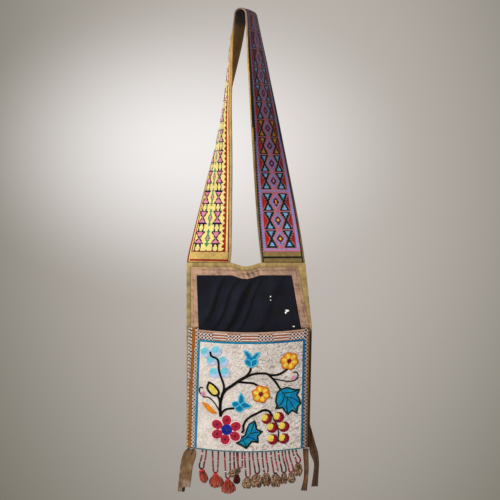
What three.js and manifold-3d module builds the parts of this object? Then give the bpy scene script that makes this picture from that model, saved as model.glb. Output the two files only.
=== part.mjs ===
// Beaded bandolier bag hung by its shoulder strap.
// Millimetres, +Z up, the front faces -Y. The origin is under the strap's crown, where the bag hangs.
import * as THREE from 'three';
import { mergeVertices } from 'three/addons/utils/BufferGeometryUtils.js';
import Module from 'manifold-3d';

const wasm = await Module();
wasm.setup();

// Gap between pieces that are sewn together
const CLEAR = 0.3;

// Strap
const STRAP_DROP = 604; // crown's underside down to the bag's top edge
const STRAP_W = 102; // width of the lining
const LINING_T = 2;
const STRAP_BEAD_T = 1.8;
const EDGE_FLANGE_W = 5; // part of the edge tape that lies on the face
const EDGE_FLANGE_T = 1.4;
const EDGE_WRAP_T = 1.2; // part of the edge tape beyond the lining
const STRAP_LAP = 18; // lining sewn behind the bag
const TAB_H = 26;
const TAB_T = 1.4;
const CROWN_R = 12; // inside radius of the crown
const CROWN_TURN = 14.5; // degrees, crown's axis from straight back
const LEFT_BOW = 12; // how far the left half's middle stands out from its edges
const CROWN_BOW = 3; // the same over the crown and down the right half
const STRAP_INSET = 0.5; // strap's outer edge in from the bag's corner
const STRAP_MOTIF_T = 0.8;
const STRAP_MOTIF_LIFT = 1.1; // motifs clear of the bowed beadwork
const HOURGLASS_PITCH = 49;
const HOURGLASS_W = 20;
const HOURGLASS_WAIST = 3;
const HOURGLASS_OUTER_IN = 19; // outer column's centre in from the lining's outer edge
const HOURGLASS_INNER_IN = 62.5; // inner column's centre in from the lining's outer edge
const DIAMOND_PITCH = 42.5;
const DIAMOND_W = 25;
const DIAMOND_NECK = 3;

// Bag
const BAG_H = 443; // top edge to the lower corners
const BAG_HALF = 142.5; // crown's plane to each edge at the top
const FLARE = 16; // right edge's step out from the top to the mouth
const TAPER = 6; // right edge's step in from the mouth to the hem
const TOP_DIP = 9; // sag of the top edge between the strap's ends
const HEM_SAG = 12;
const BACK_T = 2.6;
const WOOL_T = 1.8;
const FOLD_DEPTH = 3; // soft folds in the dark cloth
const WOOL_TUCK = 20; // dark cloth hidden behind the mouth
const BINDING_LEFT_W = 10;
const BINDING_LEFT_LOW_W = 3.5; // at the hem
const BINDING_RIGHT_W = 19; // at the top corner
const BINDING_RIGHT_LOW_W = 4.5; // from the mouth down
const BINDING_TOP_W = 10;
const BINDING_T = 2.4;
const BINDING_WRAP_T = 1.2;
const BORDER_LEFT_W = 13; // at the top corner
const BORDER_RIGHT_W = 18.5; // at the top corner
const BORDER_TOP_W = 20;
const BORDER_T = 1.6;

// Pocket
const MOUTH_H = 157; // top edge down to the pocket's mouth
const MOUTH_SAG = 10;
const POCKET_GAP = 16; // room inside at the middle of the mouth
const POCKET_T = 1.6;
const POCKET_BEAD_T = 1.8;
const MOUTH_BAND_H = 23;
const MOUTH_BAND_T = 1.8;
const BAND_LEFT_W = 18.5;
const BAND_LEFT_LOW_W = 15.5;
const BAND_RIGHT_W = 11;
const CORNER_STEP = 10; // dark cloth's lower right corner in from the pocket's side
const FRAME_W = 4.6; // blue line of beads
const HEM_W = 2.4; // the line along the hem
const FRAME_T = 2.2;
const MOTIF_T = 1.2;

// Fringe and ribbons
const STRING_D = 2.4;
const LOOP_R = 5.2; // bend of a string where its tassel hangs
const RIBBON_T = 1;

// Grid of the plant's drawing, about one bead a unit
const DESIGN_W = 102;
const DESIGN_H = 108;
const DESIGN_TOP = 1.9; // bare rows above the drawing
const STEM_W = 1.7; // in the drawing's units, as are its outlines below
const TENDRIL_W = 1.1;

const rad = THREE.MathUtils.degToRad;
const lerp = THREE.MathUtils.lerp;
const clamp = THREE.MathUtils.clamp;
const smooth = (x, a, b) => THREE.MathUtils.smoothstep(x, a, b);
const steps = (a, b, n) => Array.from({ length: n + 1 }, (_, i) => lerp(a, b, i / n));
const round = (n) => steps(0, 2 * Math.PI, n).slice(0, -1);

const group = new THREE.Group();

// Adds a named piece in its own colour.
function add(name, geometry, colour, roughness = 0.85) {
  const material = new THREE.MeshStandardMaterial({ color: colour, roughness });
  const mesh = new THREE.Mesh(geometry, material);
  mesh.name = name;
  group.add(mesh);
}

// A closed geometry from points and triangles, turned to face out.
function solid(points, faces) {
  let volume = 0;
  for (const [a, b, c] of faces) {
    const [p, q, r] = [points[a], points[b], points[c]];
    volume += p[0] * (q[1] * r[2] - q[2] * r[1]) - p[1] * (q[0] * r[2] - q[2] * r[0])
      + p[2] * (q[0] * r[1] - q[1] * r[0]);
  }
  const index = volume < 0 ? faces.map(([a, b, c]) => [a, c, b]) : faces;
  const geometry = new THREE.BufferGeometry();
  geometry.setAttribute('position', new THREE.Float32BufferAttribute(points.flat(), 3));
  geometry.setIndex(index.flat());
  return geometry;
}

// A sheet with two faces, each a function of u and v, closed along its four sides.
function slab(us, vs, front, back) {
  const n = vs.length;
  const points = [];
  for (const face of [front, back]) for (const u of us) for (const v of vs) points.push(face(u, v));
  const at = (side, i, j) => side * us.length * n + i * n + j;
  const faces = [];
  const quad = (a, b, c, d) => faces.push([a, b, c], [a, c, d]);
  const I = us.length - 1;
  const J = n - 1;
  for (let i = 0; i < I; i += 1) {
    for (let j = 0; j < J; j += 1) {
      quad(at(0, i, j), at(0, i + 1, j), at(0, i + 1, j + 1), at(0, i, j + 1));
      faces.push([at(1, i, j), at(1, i + 1, j + 1), at(1, i + 1, j)]);
      faces.push([at(1, i, j), at(1, i, j + 1), at(1, i + 1, j + 1)]);
    }
    quad(at(0, i, 0), at(1, i, 0), at(1, i + 1, 0), at(0, i + 1, 0));
    quad(at(0, i, J), at(0, i + 1, J), at(1, i + 1, J), at(1, i, J));
  }
  for (let j = 0; j < J; j += 1) {
    quad(at(0, 0, j), at(0, 0, j + 1), at(1, 0, j + 1), at(1, 0, j));
    quad(at(0, I, j), at(1, I, j), at(1, I, j + 1), at(0, I, j + 1));
  }
  return solid(points, faces);
}

// A section carried along a row of rings, which closes on itself or ends in flat caps.
function loft(rings, profile, closed = false) {
  const k = rings[0].length;
  const faces = [];
  const last = closed ? rings.length : rings.length - 1;
  for (let i = 0; i < last; i += 1) {
    const m = ((i + 1) % rings.length) * k;
    for (let j = 0; j < k; j += 1) {
      const e = (j + 1) % k;
      faces.push([i * k + j, m + j, m + e], [i * k + j, m + e, i * k + e]);
    }
  }
  if (!closed) {
    const flat = profile.map(([x, y]) => new THREE.Vector2(x, y));
    const turned = THREE.ShapeUtils.isClockWise(flat);
    for (const [a, b, c] of THREE.ShapeUtils.triangulateShape(flat, [])) {
      const z = (rings.length - 1) * k;
      const [p, q] = turned ? [c, b] : [b, c];
      faces.push([a, q, p].reverse(), [z + a, z + p, z + q].reverse());
    }
  }
  return capped(rings.flat(), faces);
}

// The same closed body with its caps turned to match its sides.
function capped(points, faces) {
  const seen = new Map();
  faces.forEach(([a, b, c]) => [[a, b], [b, c], [c, a]].forEach(([p, q]) => {
    seen.set(`${p},${q}`, (seen.get(`${p},${q}`) || 0) + 1);
  }));
  const clash = [...seen.values()].some((count) => count > 1);
  const half = faces.length;
  if (!clash) return solid(points, faces);
  const used = new Set();
  const out = [];
  for (let i = 0; i < half; i += 1) {
    let [a, b, c] = faces[i];
    if ([[a, b], [b, c], [c, a]].some(([p, q]) => used.has(`${p},${q}`))) [b, c] = [c, b];
    [[a, b], [b, c], [c, a]].forEach(([p, q]) => used.add(`${p},${q}`));
    out.push([a, b, c]);
  }
  return solid(points, out);
}

// A smooth value from a table of [place, value] rows.
function along(table, t) {
  const last = table.length - 1;
  let i = 0;
  while (i < last - 1 && t > table[i + 1][0]) i += 1;
  const slope = (k) => {
    const [a, b] = [table[Math.max(k - 1, 0)], table[Math.min(k + 1, last)]];
    return (b[1] - a[1]) / (b[0] - a[0]);
  };
  const [[x0, y0], [x1, y1]] = [table[i], table[i + 1]];
  const h = x1 - x0;
  const f = clamp((t - x0) / h, 0, 1);
  return (1 + 2 * f) * (1 - f) ** 2 * y0 + f * (1 - f) ** 2 * h * slope(i)
    + f * f * (3 - 2 * f) * y1 + f * f * (f - 1) * h * slope(i + 1);
}

// Strap surface. s runs 0 to 1 up the left half, to 2 over the crown and to 3 down the right half.
const LEG = STRAP_DROP - CROWN_R;
const CROWN_MID = CROWN_R + LINING_T;
const STRAP_X = BAG_HALF - STRAP_INSET - EDGE_WRAP_T - CLEAR - STRAP_W / 2;
const STRAP_Y = BACK_T + CLEAR;
const TURN_TOP = 90 - CROWN_TURN;
const LEFT_TURN = [[0, 0], [0.05, 14], [0.09, 24], [0.17, 36], [0.25, 46], [0.33, 54], [0.45, 66], [0.58, 79],
  [0.66, 86], [0.74, 91], [0.82, 97], [0.9, 102], [1, 180 - TURN_TOP]];
const RIGHT_TURN = [[0, 0], [0.05, 5], [0.09, 10], [0.17, 19], [0.25, 27], [0.33, 34], [0.45, 43], [0.58, 51],
  [0.66, 56], [0.74, 61], [0.82, 65], [0.9, 70], [1, TURN_TOP]];
const CROWN_X = Math.cos(rad(CROWN_TURN));
const CROWN_Y = -Math.sin(rad(CROWN_TURN));
const bowAt = (side, t) => smooth(t, 0.05, 0.6)
  * (side < 0 ? lerp(LEFT_BOW, CROWN_BOW, smooth(t, 0.9, 1)) : CROWN_BOW);

function strapFace(s, w) {
  const across = 1 - (w / (STRAP_W / 2)) ** 2;
  if (s > 1 && s < 2) {
    const turn = Math.PI * (2 - s);
    const out = CROWN_MID + CROWN_BOW * Math.cos(turn) ** 2 * across;
    const reach = out * Math.cos(turn);
    return new THREE.Vector3(reach * CROWN_X - w * CROWN_Y, reach * CROWN_Y + w * CROWN_X,
      -CROWN_R + out * Math.sin(turn));
  }
  const side = s <= 1 ? -1 : 1;
  const rise = s <= 1 ? s : 3 - s;
  const t = Math.max(rise, 0);
  const turn = rad(side < 0 ? -along(LEFT_TURN, t) : along(RIGHT_TURN, t));
  const bow = bowAt(side, t) * across;
  const x = side * lerp(STRAP_X, CROWN_MID * CROWN_X, t);
  const y = lerp(STRAP_Y, side * CROWN_MID * CROWN_Y, t);
  return new THREE.Vector3(
    x + side * w * Math.cos(turn) + bow * Math.sin(turn),
    y + side * w * Math.sin(turn) - bow * Math.cos(turn),
    -STRAP_DROP + rise * LEG,
  );
}

function strapPoint(s, w, n) {
  const e = 1e-3;
  const up = strapFace(s + e, w).sub(strapFace(s - e, w));
  const out = strapFace(s, w + e * LEG).sub(strapFace(s, w - e * LEG));
  return strapFace(s, w).addScaledVector(up.cross(out).normalize(), n).toArray();
}

const LAP = STRAP_LAP / LEG;
const SEAM = 3 * CLEAR / LEG;
const TAB = TAB_H / LEG;
const LEG_STATIONS = [0, TAB, 0.1, 0.17, 0.25, 0.34, 0.43, 0.52, 0.61, 0.7, 0.79, 0.88, 0.95, 1]
  .filter((t, i, all) => i === 0 || t > all[i - 1]);
const CROWN_STATIONS = steps(1, 2, 8).slice(1, -1);
const RIGHT_STATIONS = LEG_STATIONS.map((t) => 3 - t).reverse();
const STATIONS = [-LAP, ...LEG_STATIONS, ...CROWN_STATIONS, ...RIGHT_STATIONS, 3 + LAP];
const between = (a, b) => [a, ...STATIONS.filter((s) => s > a + 1e-4 && s < b - 1e-4), b];

const BEAD_HALF = STRAP_W / 2 - EDGE_FLANGE_W - CLEAR;
const BEAD_ACROSS = [-1, -0.5, 0, 0.5, 1].map((k) => k * BEAD_HALF);
const strapSkin = (n) => (s, w) => strapPoint(s, w, n);
const strapSlab = (ss, ws, n0, n1) => slab(ss, ws, strapSkin(n1), strapSkin(n0));

add('strap_lining', strapSlab(STATIONS, [-STRAP_W / 2, ...BEAD_ACROSS, STRAP_W / 2], -LINING_T, 0), 0x5c4323);
const BEAD_N = [CLEAR, CLEAR + STRAP_BEAD_T];
const LEFT_BEADS = between(TAB, 1.5 - CLEAR / LEG);
const RIGHT_BEADS = between(1.5 + CLEAR / LEG, 3 - TAB);
add('left_strap_beadwork', strapSlab(LEFT_BEADS, BEAD_ACROSS, ...BEAD_N), 0xf2e07a, 0.45);
add('right_strap_beadwork', strapSlab(RIGHT_BEADS, BEAD_ACROSS, ...BEAD_N), 0x8d97d6, 0.45);
const TAB_TOP = TAB - CLEAR / LEG;
const TAB_N = [CLEAR, CLEAR + TAB_T];
add('left_strap_tab', strapSlab([SEAM, TAB_TOP], BEAD_ACROSS, ...TAB_N), 0xa08a45);
add('right_strap_tab', strapSlab([3 - TAB_TOP, 3 - SEAM], BEAD_ACROSS, ...TAB_N), 0xa08a45);

// Edge tape: an L over the lining's edge, with its flange on the face
const tape = [
  [CLEAR + EDGE_WRAP_T, -LINING_T], [CLEAR + EDGE_WRAP_T, CLEAR + EDGE_FLANGE_T],
  [-EDGE_FLANGE_W, CLEAR + EDGE_FLANGE_T], [-EDGE_FLANGE_W, CLEAR], [CLEAR, CLEAR], [CLEAR, -LINING_T],
];
const TAPE_STATIONS = between(SEAM, 3 - SEAM);
for (const [name, side, colour] of [['strap_inner_edge', -1, 0xc9a548], ['strap_outer_edge', 1, 0xa08a45]]) {
  const row = side < 0 ? [...TAPE_STATIONS].reverse() : TAPE_STATIONS;
  const rings = row.map((s) => tape.map(([w, n]) => strapPoint(s, side * (STRAP_W / 2 + w), n)));
  add(name, loft(rings, tape), colour);
}

// Columns of motifs along the strap: strips that widen and narrow once in each repeat
function motifColumn(first, last, pitch, centre, wide, narrow) {
  const count = Math.max(1, Math.round(Math.abs(last - first) * LEG / pitch));
  const ss = steps(first, last, 2 * count);
  const half = (i) => (i % 2 ? narrow : wide) / 2;
  const n0 = CLEAR + STRAP_BEAD_T + STRAP_MOTIF_LIFT;
  const face = (n) => (i, k) => strapPoint(ss[i], centre + k * half(i), n);
  return slab(ss.map((_, i) => i), [-1, 0, 1], face(n0 + STRAP_MOTIF_T), face(n0));
}
const MOTIF_FIRST = TAB + 2 * CLEAR / LEG;
const MOTIF_LAST = 0.97;
const outerColumn = STRAP_W / 2 - HOURGLASS_OUTER_IN;
const innerColumn = STRAP_W / 2 - HOURGLASS_INNER_IN;
add('left_hourglasses_outer', motifColumn(MOTIF_FIRST, MOTIF_LAST, HOURGLASS_PITCH, outerColumn, HOURGLASS_W,
  HOURGLASS_WAIST), 0xe58fa6, 0.45);
add('left_hourglasses_inner', motifColumn(MOTIF_FIRST, MOTIF_LAST, HOURGLASS_PITCH, innerColumn, HOURGLASS_W,
  HOURGLASS_WAIST), 0xe58fa6, 0.45);
add('right_diamonds', motifColumn(3 - MOTIF_FIRST, 3 - MOTIF_LAST, DIAMOND_PITCH, 0, DIAMOND_NECK,
  DIAMOND_W), 0xb3262a, 0.45);

// Bag outline. h is the distance below the top corners.
const zAt = (h) => -STRAP_DROP - h;
const leftX = () => -BAG_HALF;
const rightX = (h) => BAG_HALF + (h < MOUTH_H ? FLARE * clamp(h / MOUTH_H, 0, 1)
  : FLARE - TAPER * clamp((h - MOUTH_H) / (BAG_H - MOUTH_H), 0, 1));
const midX = (h) => (leftX(h) + rightX(h)) / 2;
const GAP_HALF = STRAP_X - STRAP_W / 2;
const topH = (x) => TOP_DIP * Math.max(0, 1 - (x / GAP_HALF) ** 2) ** 2;
const spread = (x, h) => clamp((x - midX(h)) / (rightX(h) - midX(h)), -1, 1);
const hemH = (x) => BAG_H + HEM_SAG * (1 - spread(x, BAG_H) ** 2);
const mouthH = (x) => MOUTH_H + MOUTH_SAG * (1 - spread(x, MOUTH_H) ** 2);

const bindRight = (h) => lerp(BINDING_RIGHT_W, BINDING_RIGHT_LOW_W, clamp(h / MOUTH_H, 0, 1));
const low = (h) => clamp((h - MOUTH_H) / (BAG_H - MOUTH_H), 0, 1);
const bindLeft = (h) => lerp(BINDING_LEFT_W, BINDING_LEFT_LOW_W, low(h));
const sideLeft = (h) => (h < MOUTH_H ? lerp(BORDER_LEFT_W, BAND_LEFT_W, clamp(h / MOUTH_H, 0, 1))
  : lerp(BAND_LEFT_W, BAND_LEFT_LOW_W, low(h)));
const borderRight = (h) => lerp(BORDER_RIGHT_W, BAND_RIGHT_W + CORNER_STEP, clamp(h / MOUTH_H, 0, 1));
// Where the binding ends and the side strips begin, and where these end
const stripLeft0 = (h) => leftX(h) + bindLeft(h) + CLEAR;
const stripLeft1 = (h) => stripLeft0(h) + sideLeft(h);
const stripRight0 = (h) => rightX(h) - bindRight(h) - CLEAR;
const stripRight1 = (h) => stripRight0(h) - BAND_RIGHT_W;
const borderRight1 = (h) => stripRight0(h) - borderRight(h);

// A four-sided patch of the bag: u across between two edges, v down between two more.
function patch(x0, x1, h0, h1) {
  return (u, v) => {
    let h = lerp(h0(0), h1(0), v);
    let x = 0;
    for (let k = 0; k < 4; k += 1) {
      x = lerp(x0(h), x1(h), u);
      h = lerp(h0(x), h1(x), v);
    }
    return [x, h];
  };
}
function sheet(place, nu, nv, yFront, yBack) {
  const face = (y) => (u, v) => {
    const [x, h] = place(u, v);
    return [x, y(x, h, u, v), zAt(h)];
  };
  const shares = (n) => (Array.isArray(n) ? n : steps(0, 1, n));
  return slab(shares(nu), shares(nv), face(yFront), face(yBack));
}

// Places along the top edge, closer in its dip, and the same places as shares of a width
const DIP_X = steps(-GAP_HALF, GAP_HALF, 6);
const TOP_X = [-0.6 * BAG_HALF, ...DIP_X, 0.6 * BAG_HALF];
const topShares = (x0, x1) => [0, ...TOP_X.map((x) => (x - x0) / (x1 - x0)), 1];

// Rear cloth, inside the binding's wrap
const backLeft = (h) => leftX(h) + BINDING_WRAP_T + CLEAR;
const backRight = (h) => rightX(h) - BINDING_WRAP_T - CLEAR;
const backTop = (x) => topH(x) + BINDING_WRAP_T + CLEAR;
add('bag_back', sheet(patch(backLeft, backRight, backTop, hemH), topShares(backLeft(0), backRight(0)),
  [0, MOUTH_H / BAG_H, 1], () => 0, () => BACK_T), 0x6b5130);

// Dark cloth, with soft slanting folds
const woolTop = (x) => topH(x) + BINDING_TOP_W + CLEAR + BORDER_TOP_W + CLEAR;
const woolPlace = patch((h) => stripLeft1(h) + CLEAR, (h) => borderRight1(h) - CLEAR, woolTop,
  (x) => mouthH(x) + WOOL_TUCK);
function foldAt(u, v) {
  const slant = u + 0.42 * v;
  const ridge = (at, wide) => Math.exp(-(((slant - at) / wide) ** 2));
  const fade = Math.sin(Math.PI * clamp(v / 0.9, 0, 1)) * Math.sin(Math.PI * u);
  return fade * (0.8 * ridge(0.36, 0.07) + ridge(0.62, 0.08) + 0.4 * ridge(0.98, 0.09));
}
const woolMouth = (MOUTH_H - woolTop(BAG_HALF)) / (MOUTH_H + WOOL_TUCK - woolTop(BAG_HALF));
const woolShares = topShares(woolPlace(0, 0)[0], woolPlace(1, 0)[0]);
const woolFront = (x, h, u, v) => -CLEAR - WOOL_T - FOLD_DEPTH * foldAt(u, v);
const woolRows = [...steps(0, woolMouth, 5), 1];
add('wool_panel', sheet(woolPlace, woolShares, woolRows, woolFront, () => -CLEAR), 0x14151f);

// Ribbon border, up the left, across the top and down the right
const box = [[0, 0], [1, 0], [1, 1], [0, 1]];
function bandRings(rows, yBack, yFront) {
  return rows.map(([[x0, h0], [x1, h1]]) => [
    [x0, yBack(x0, h0), zAt(h0)], [x0, yFront(x0, h0), zAt(h0)],
    [x1, yFront(x1, h1), zAt(h1)], [x1, yBack(x1, h1), zAt(h1)],
  ]);
}
const borderTop0 = (x) => topH(x) + BINDING_TOP_W + CLEAR;
const borderTop1 = (x) => borderTop0(x) + BORDER_TOP_W;
const borderRows = [];
const borderH = borderTop0(BAG_HALF);
const borderDown = steps(borderTop1(BAG_HALF), MOUTH_H - CLEAR, 2);
for (const h of [...borderDown].reverse()) borderRows.push([[stripLeft0(h), h], [stripLeft1(h), h]]);
borderRows[borderRows.length - 1][0] = [stripLeft0(borderH), borderH];
for (const x of TOP_X) borderRows.push([[x, borderTop0(x)], [x, borderTop1(x)]]);
for (const h of borderDown) borderRows.push([[stripRight0(h), h], [borderRight1(h), h]]);
borderRows[borderRows.length - borderDown.length][0] = [stripRight0(borderH), borderH];
add('ribbon_border', loft(bandRings(borderRows, () => -CLEAR, () => -CLEAR - BORDER_T), box), 0xb9957f);

// Binding: an L over the edge of the rear cloth, with its flange in front
const bindingRows = [];
const bindDown = [BINDING_TOP_W, MOUTH_H / 2, MOUTH_H, (MOUTH_H + BAG_H) / 2, BAG_H - CLEAR];
const leftRow = (h) => [[leftX(h), h], [leftX(h) + BINDING_WRAP_T, h], [leftX(h) + bindLeft(h), h]];
const rightRow = (h) => [[rightX(h), h], [rightX(h) - BINDING_WRAP_T, h], [rightX(h) - bindRight(h), h]];
for (const h of [...bindDown].reverse()) bindingRows.push(leftRow(h));
bindingRows[bindingRows.length - 1] = [[leftX(0), 0], [leftX(0) + BINDING_WRAP_T, BINDING_WRAP_T],
  [leftX(0) + bindLeft(BINDING_TOP_W), BINDING_TOP_W]];
const topRow = (x) => [[x, topH(x)], [x, topH(x) + BINDING_WRAP_T], [x, topH(x) + BINDING_TOP_W]];
for (const x of TOP_X) bindingRows.push(topRow(x));
for (const h of bindDown) bindingRows.push(rightRow(h));
bindingRows[bindingRows.length - bindDown.length] = [[rightX(0), 0],
  [rightX(0) - BINDING_WRAP_T, BINDING_WRAP_T],
  [rightX(BINDING_TOP_W) - bindRight(BINDING_TOP_W), BINDING_TOP_W]];
const bindingRings = bindingRows.map(([[xa, ha], [xb, hb], [xc, hc]]) => [
  [xa, BACK_T, zAt(ha)], [xa, -CLEAR - BINDING_T, zAt(ha)], [xc, -CLEAR - BINDING_T, zAt(hc)],
  [xc, -CLEAR, zAt(hc)], [xb, -CLEAR, zAt(hb)], [xb, BACK_T, zAt(hb)],
]);
const bindingProfile = [[0, BACK_T], [0, -CLEAR - BINDING_T], [BINDING_LEFT_W, -CLEAR - BINDING_T],
  [BINDING_LEFT_W, -CLEAR], [BINDING_WRAP_T, -CLEAR], [BINDING_WRAP_T, BACK_T]];
add('bag_binding', loft(bindingRings, bindingProfile), 0xa08a45);

// Pocket. Its inner face stands out from the dark cloth at the mouth and comes in to the hem.
const POCKET_Y = -CLEAR - WOOL_T - CLEAR;
const pocketLeft = (h) => stripLeft1(h) + CLEAR;
const pocketRight = (h) => stripRight1(h) - CLEAR;
function pocketY(x, h) {
  const mid = (pocketLeft(h) + pocketRight(h)) / 2;
  const across = clamp((x - mid) / (pocketRight(h) - mid), -1, 1);
  return POCKET_Y - POCKET_GAP * (1 - across ** 2) * (1 - low(h) ** 2);
}
const layer = (depth) => (x, h) => pocketY(x, h) - depth;
const COLUMNS = 8; // facets across and down the bulge
const ROWS = 6;
add('pocket_front', sheet(patch(pocketLeft, pocketRight, mouthH, hemH), COLUMNS, ROWS, layer(POCKET_T),
  layer(0)), 0x8a6a4a);

const SKIN = POCKET_T + CLEAR;
const mouthLow = (x) => mouthH(x) + MOUTH_BAND_H;
const bandPlace = patch(pocketLeft, pocketRight, mouthH, mouthLow);
const bandFront = layer(SKIN + MOUTH_BAND_T);
add('mouth_band', sheet(bandPlace, COLUMNS, 1, bandFront, layer(SKIN)), 0xc9a58c, 0.5);

const frameTop0 = (x) => mouthLow(x) + CLEAR;
const frameTop1 = (x) => frameTop0(x) + FRAME_W;
const frameHem1 = (x) => hemH(x) - HEM_W;
const frameLeft1 = (h) => pocketLeft(h) + FRAME_W;
const frameRight1 = (h) => pocketRight(h) - FRAME_W;
const panelTop = (x) => frameTop1(x) + CLEAR;
const panelHem = (x) => frameHem1(x) - CLEAR;
const panelLeft = (h) => frameLeft1(h) + CLEAR;
const panelRight = (h) => frameRight1(h) - CLEAR;
const framed = patch(pocketLeft, pocketRight, frameTop0, hemH);
const inside = patch(frameLeft1, frameRight1, frameTop1, frameHem1);
const frameRows = [];
for (const u of steps(0, 1, COLUMNS).slice(0, -1)) frameRows.push([framed(u, 0), inside(u, 0)]);
for (const v of steps(0, 1, ROWS).slice(0, -1)) frameRows.push([framed(1, v), inside(1, v)]);
for (const u of steps(1, 0, COLUMNS).slice(0, -1)) frameRows.push([framed(u, 1), inside(u, 1)]);
for (const v of steps(1, 0, ROWS).slice(0, -1)) frameRows.push([framed(0, v), inside(0, v)]);
add('bead_frame', loft(bandRings(frameRows, layer(SKIN), layer(SKIN + FRAME_T)), box, true), 0x1581a6, 0.45);

const panelPlace = patch(panelLeft, panelRight, panelTop, panelHem);
const panelFront = layer(SKIN + POCKET_BEAD_T);
add('pocket_beadwork', sheet(panelPlace, COLUMNS, ROWS, panelFront, layer(SKIN)), 0xddd0c4, 0.5);

// Bead edging that closes the pocket's sides
const BAND_T = WOOL_T + CLEAR + POCKET_T + CLEAR + POCKET_BEAD_T;
const sideTop = () => MOUTH_H;
const sideHem = () => BAG_H;
add('left_side_band', sheet(patch(stripLeft0, stripLeft1, sideTop, sideHem), 2, 2, () => -CLEAR - BAND_T,
  () => -CLEAR), 0xb5701e, 0.5);
add('right_side_band', sheet(patch(stripRight1, stripRight0, sideTop, sideHem), 2, 2, () => -CLEAR - BAND_T,
  () => -CLEAR), 0xb5701e, 0.5);

// The plant, drawn in design units and raised from the bead ground
function toSolid(geometry) {
  const bare = new THREE.BufferGeometry();
  bare.setAttribute('position', geometry.getAttribute('position'));
  if (geometry.index) bare.setIndex(geometry.index);
  const merged = mergeVertices(bare, 1e-4);
  return new wasm.Manifold(new wasm.Mesh({
    numProp: 3,
    vertProperties: new Float32Array(merged.attributes.position.array),
    triVerts: new Uint32Array(merged.index.array),
  }));
}
function toGeometry(made) {
  const mesh = made.getMesh();
  const geometry = new THREE.BufferGeometry();
  geometry.setAttribute('position', new THREE.Float32BufferAttribute(mesh.vertProperties, 3));
  geometry.setIndex(new THREE.BufferAttribute(mesh.triVerts, 1));
  return geometry;
}
const RAISE = SKIN + POCKET_BEAD_T + CLEAR;
const motifLayer = toSolid(sheet(patch((h) => panelLeft(h) + 1, (h) => panelRight(h) - 1,
  (x) => panelTop(x) + 1, (x) => panelHem(x) - 1), COLUMNS, ROWS, layer(RAISE + MOTIF_T), layer(RAISE)));
const REACH = POCKET_GAP + 40;
const spot = ([a, b]) => {
  const [x, h] = panelPlace(a / DESIGN_W, (b + DESIGN_TOP) / DESIGN_H);
  return new THREE.Vector2(x, zAt(h));
};
// A drawn outline as a block right through the motif layer, its outline grown by a margin if asked
function block(points, grow = 0) {
  const shape = new THREE.Shape(points);
  const geometry = new THREE.ExtrudeGeometry(shape, grow
    ? { depth: REACH, bevelEnabled: true, bevelSize: grow, bevelThickness: grow, bevelSegments: 1, steps: 1 }
    : { depth: REACH, bevelEnabled: false, steps: 1 });
  return toSolid(geometry.rotateX(Math.PI / 2));
}
const outline = (list) => list.map(spot);
const disc = ([a, b], r, n = 9) => outline(round(n).map((k) => [a + r * Math.cos(k), b + r * Math.sin(k)]));
const scallop = ([a, b], r, petals) => outline(round(petals * 4).map((k) => {
  const d = r * (0.8 + 0.2 * Math.abs(Math.cos(petals * k / 2)));
  return [a + d * Math.cos(k), b + d * Math.sin(k)];
}));
// A stem: a strip of even width along a smooth line
function stem(list, width) {
  const curve = new THREE.SplineCurve(list.map(([a, b]) => new THREE.Vector2(a, b)));
  const count = Math.round(1.6 * (list.length - 1));
  const left = [];
  const right = [];
  for (const t of steps(0, 1, count)) {
    const p = curve.getPoint(t);
    const d = curve.getTangent(t);
    left.push([p.x - d.y * width / 2, p.y + d.x * width / 2]);
    right.unshift([p.x + d.y * width / 2, p.y - d.x * width / 2]);
  }
  return outline([...left, ...right]);
}
const join = (outlines) => wasm.Manifold.union(outlines.map((list) => block(list)));

const LEAF_RIGHT = [[80.8, 44.8], [87.5, 43.3], [91.2, 44.9], [95.7, 46.7], [99.7, 46.4], [97, 52.2],
  [99.1, 55.1], [101, 61], [98.1, 63.8], [97.4, 70.6], [92.8, 67], [88.5, 70.8], [84.3, 65.3],
  [83.3, 63.4], [76.6, 63.9], [77.8, 59.9], [76.4, 57.1], [76.7, 52.6], [77.8, 48.2]];
const LEAF_LOWER = [[39.1, 98.1], [44.2, 91.7], [47.2, 89.9], [48.8, 83.7], [50.8, 78.8], [56, 75.4],
  [57.3, 78.5], [58.2, 83.9], [63.9, 86.3], [59.3, 91], [60, 97.2], [53.7, 96.2], [48.7, 103.2], [43.2, 99.7]];
const TULIP = [[43, 4.4], [46.4, 11.6], [44.3, 14.9], [45.3, 18], [47.7, 20.3], [50.9, 21.3], [53.5, 21],
  [56.6, 19], [57.8, 15.4], [56.8, 12.6], [59.6, 6.4], [55.9, 6.4], [51.8, 10.4], [49.9, 7.3], [47.5, 5]];
const BELL = [[41.8, 46.8], [44.9, 51], [45.9, 56.2], [52.8, 59.8], [50.6, 62], [45.3, 63.3], [44, 65.6],
  [40.9, 66.9], [37.3, 65.2], [36.1, 62.2], [33.5, 60.4], [33.2, 57.3], [36, 55.5], [39.6, 55.9],
  [39.9, 51.4]];
const ORANGE_LEAF = [[3.3, 58.9], [8.3, 59.5], [12.9, 62.8], [16.7, 66.6], [19.4, 68.6], [14.1, 69.8],
  [9.5, 67.1], [6.2, 63.2]];
const YELLOW_LEAF = [[10.1, 38.5], [14.7, 41], [19.4, 46.2], [19.6, 49.3], [17.4, 50.8], [14.2, 50.5],
  [10.5, 47.5], [8.7, 44]];
const PETALS = [[28.7, 75.4], [37.6, 81.2], [37.2, 91], [27.7, 94.6], [19.7, 89.9], [19.5, 80.2]];
const PETAL_R = 4.9;
const RED_CENTRE = [29, 84.8];
const CENTRE_R = 6.4;
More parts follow.
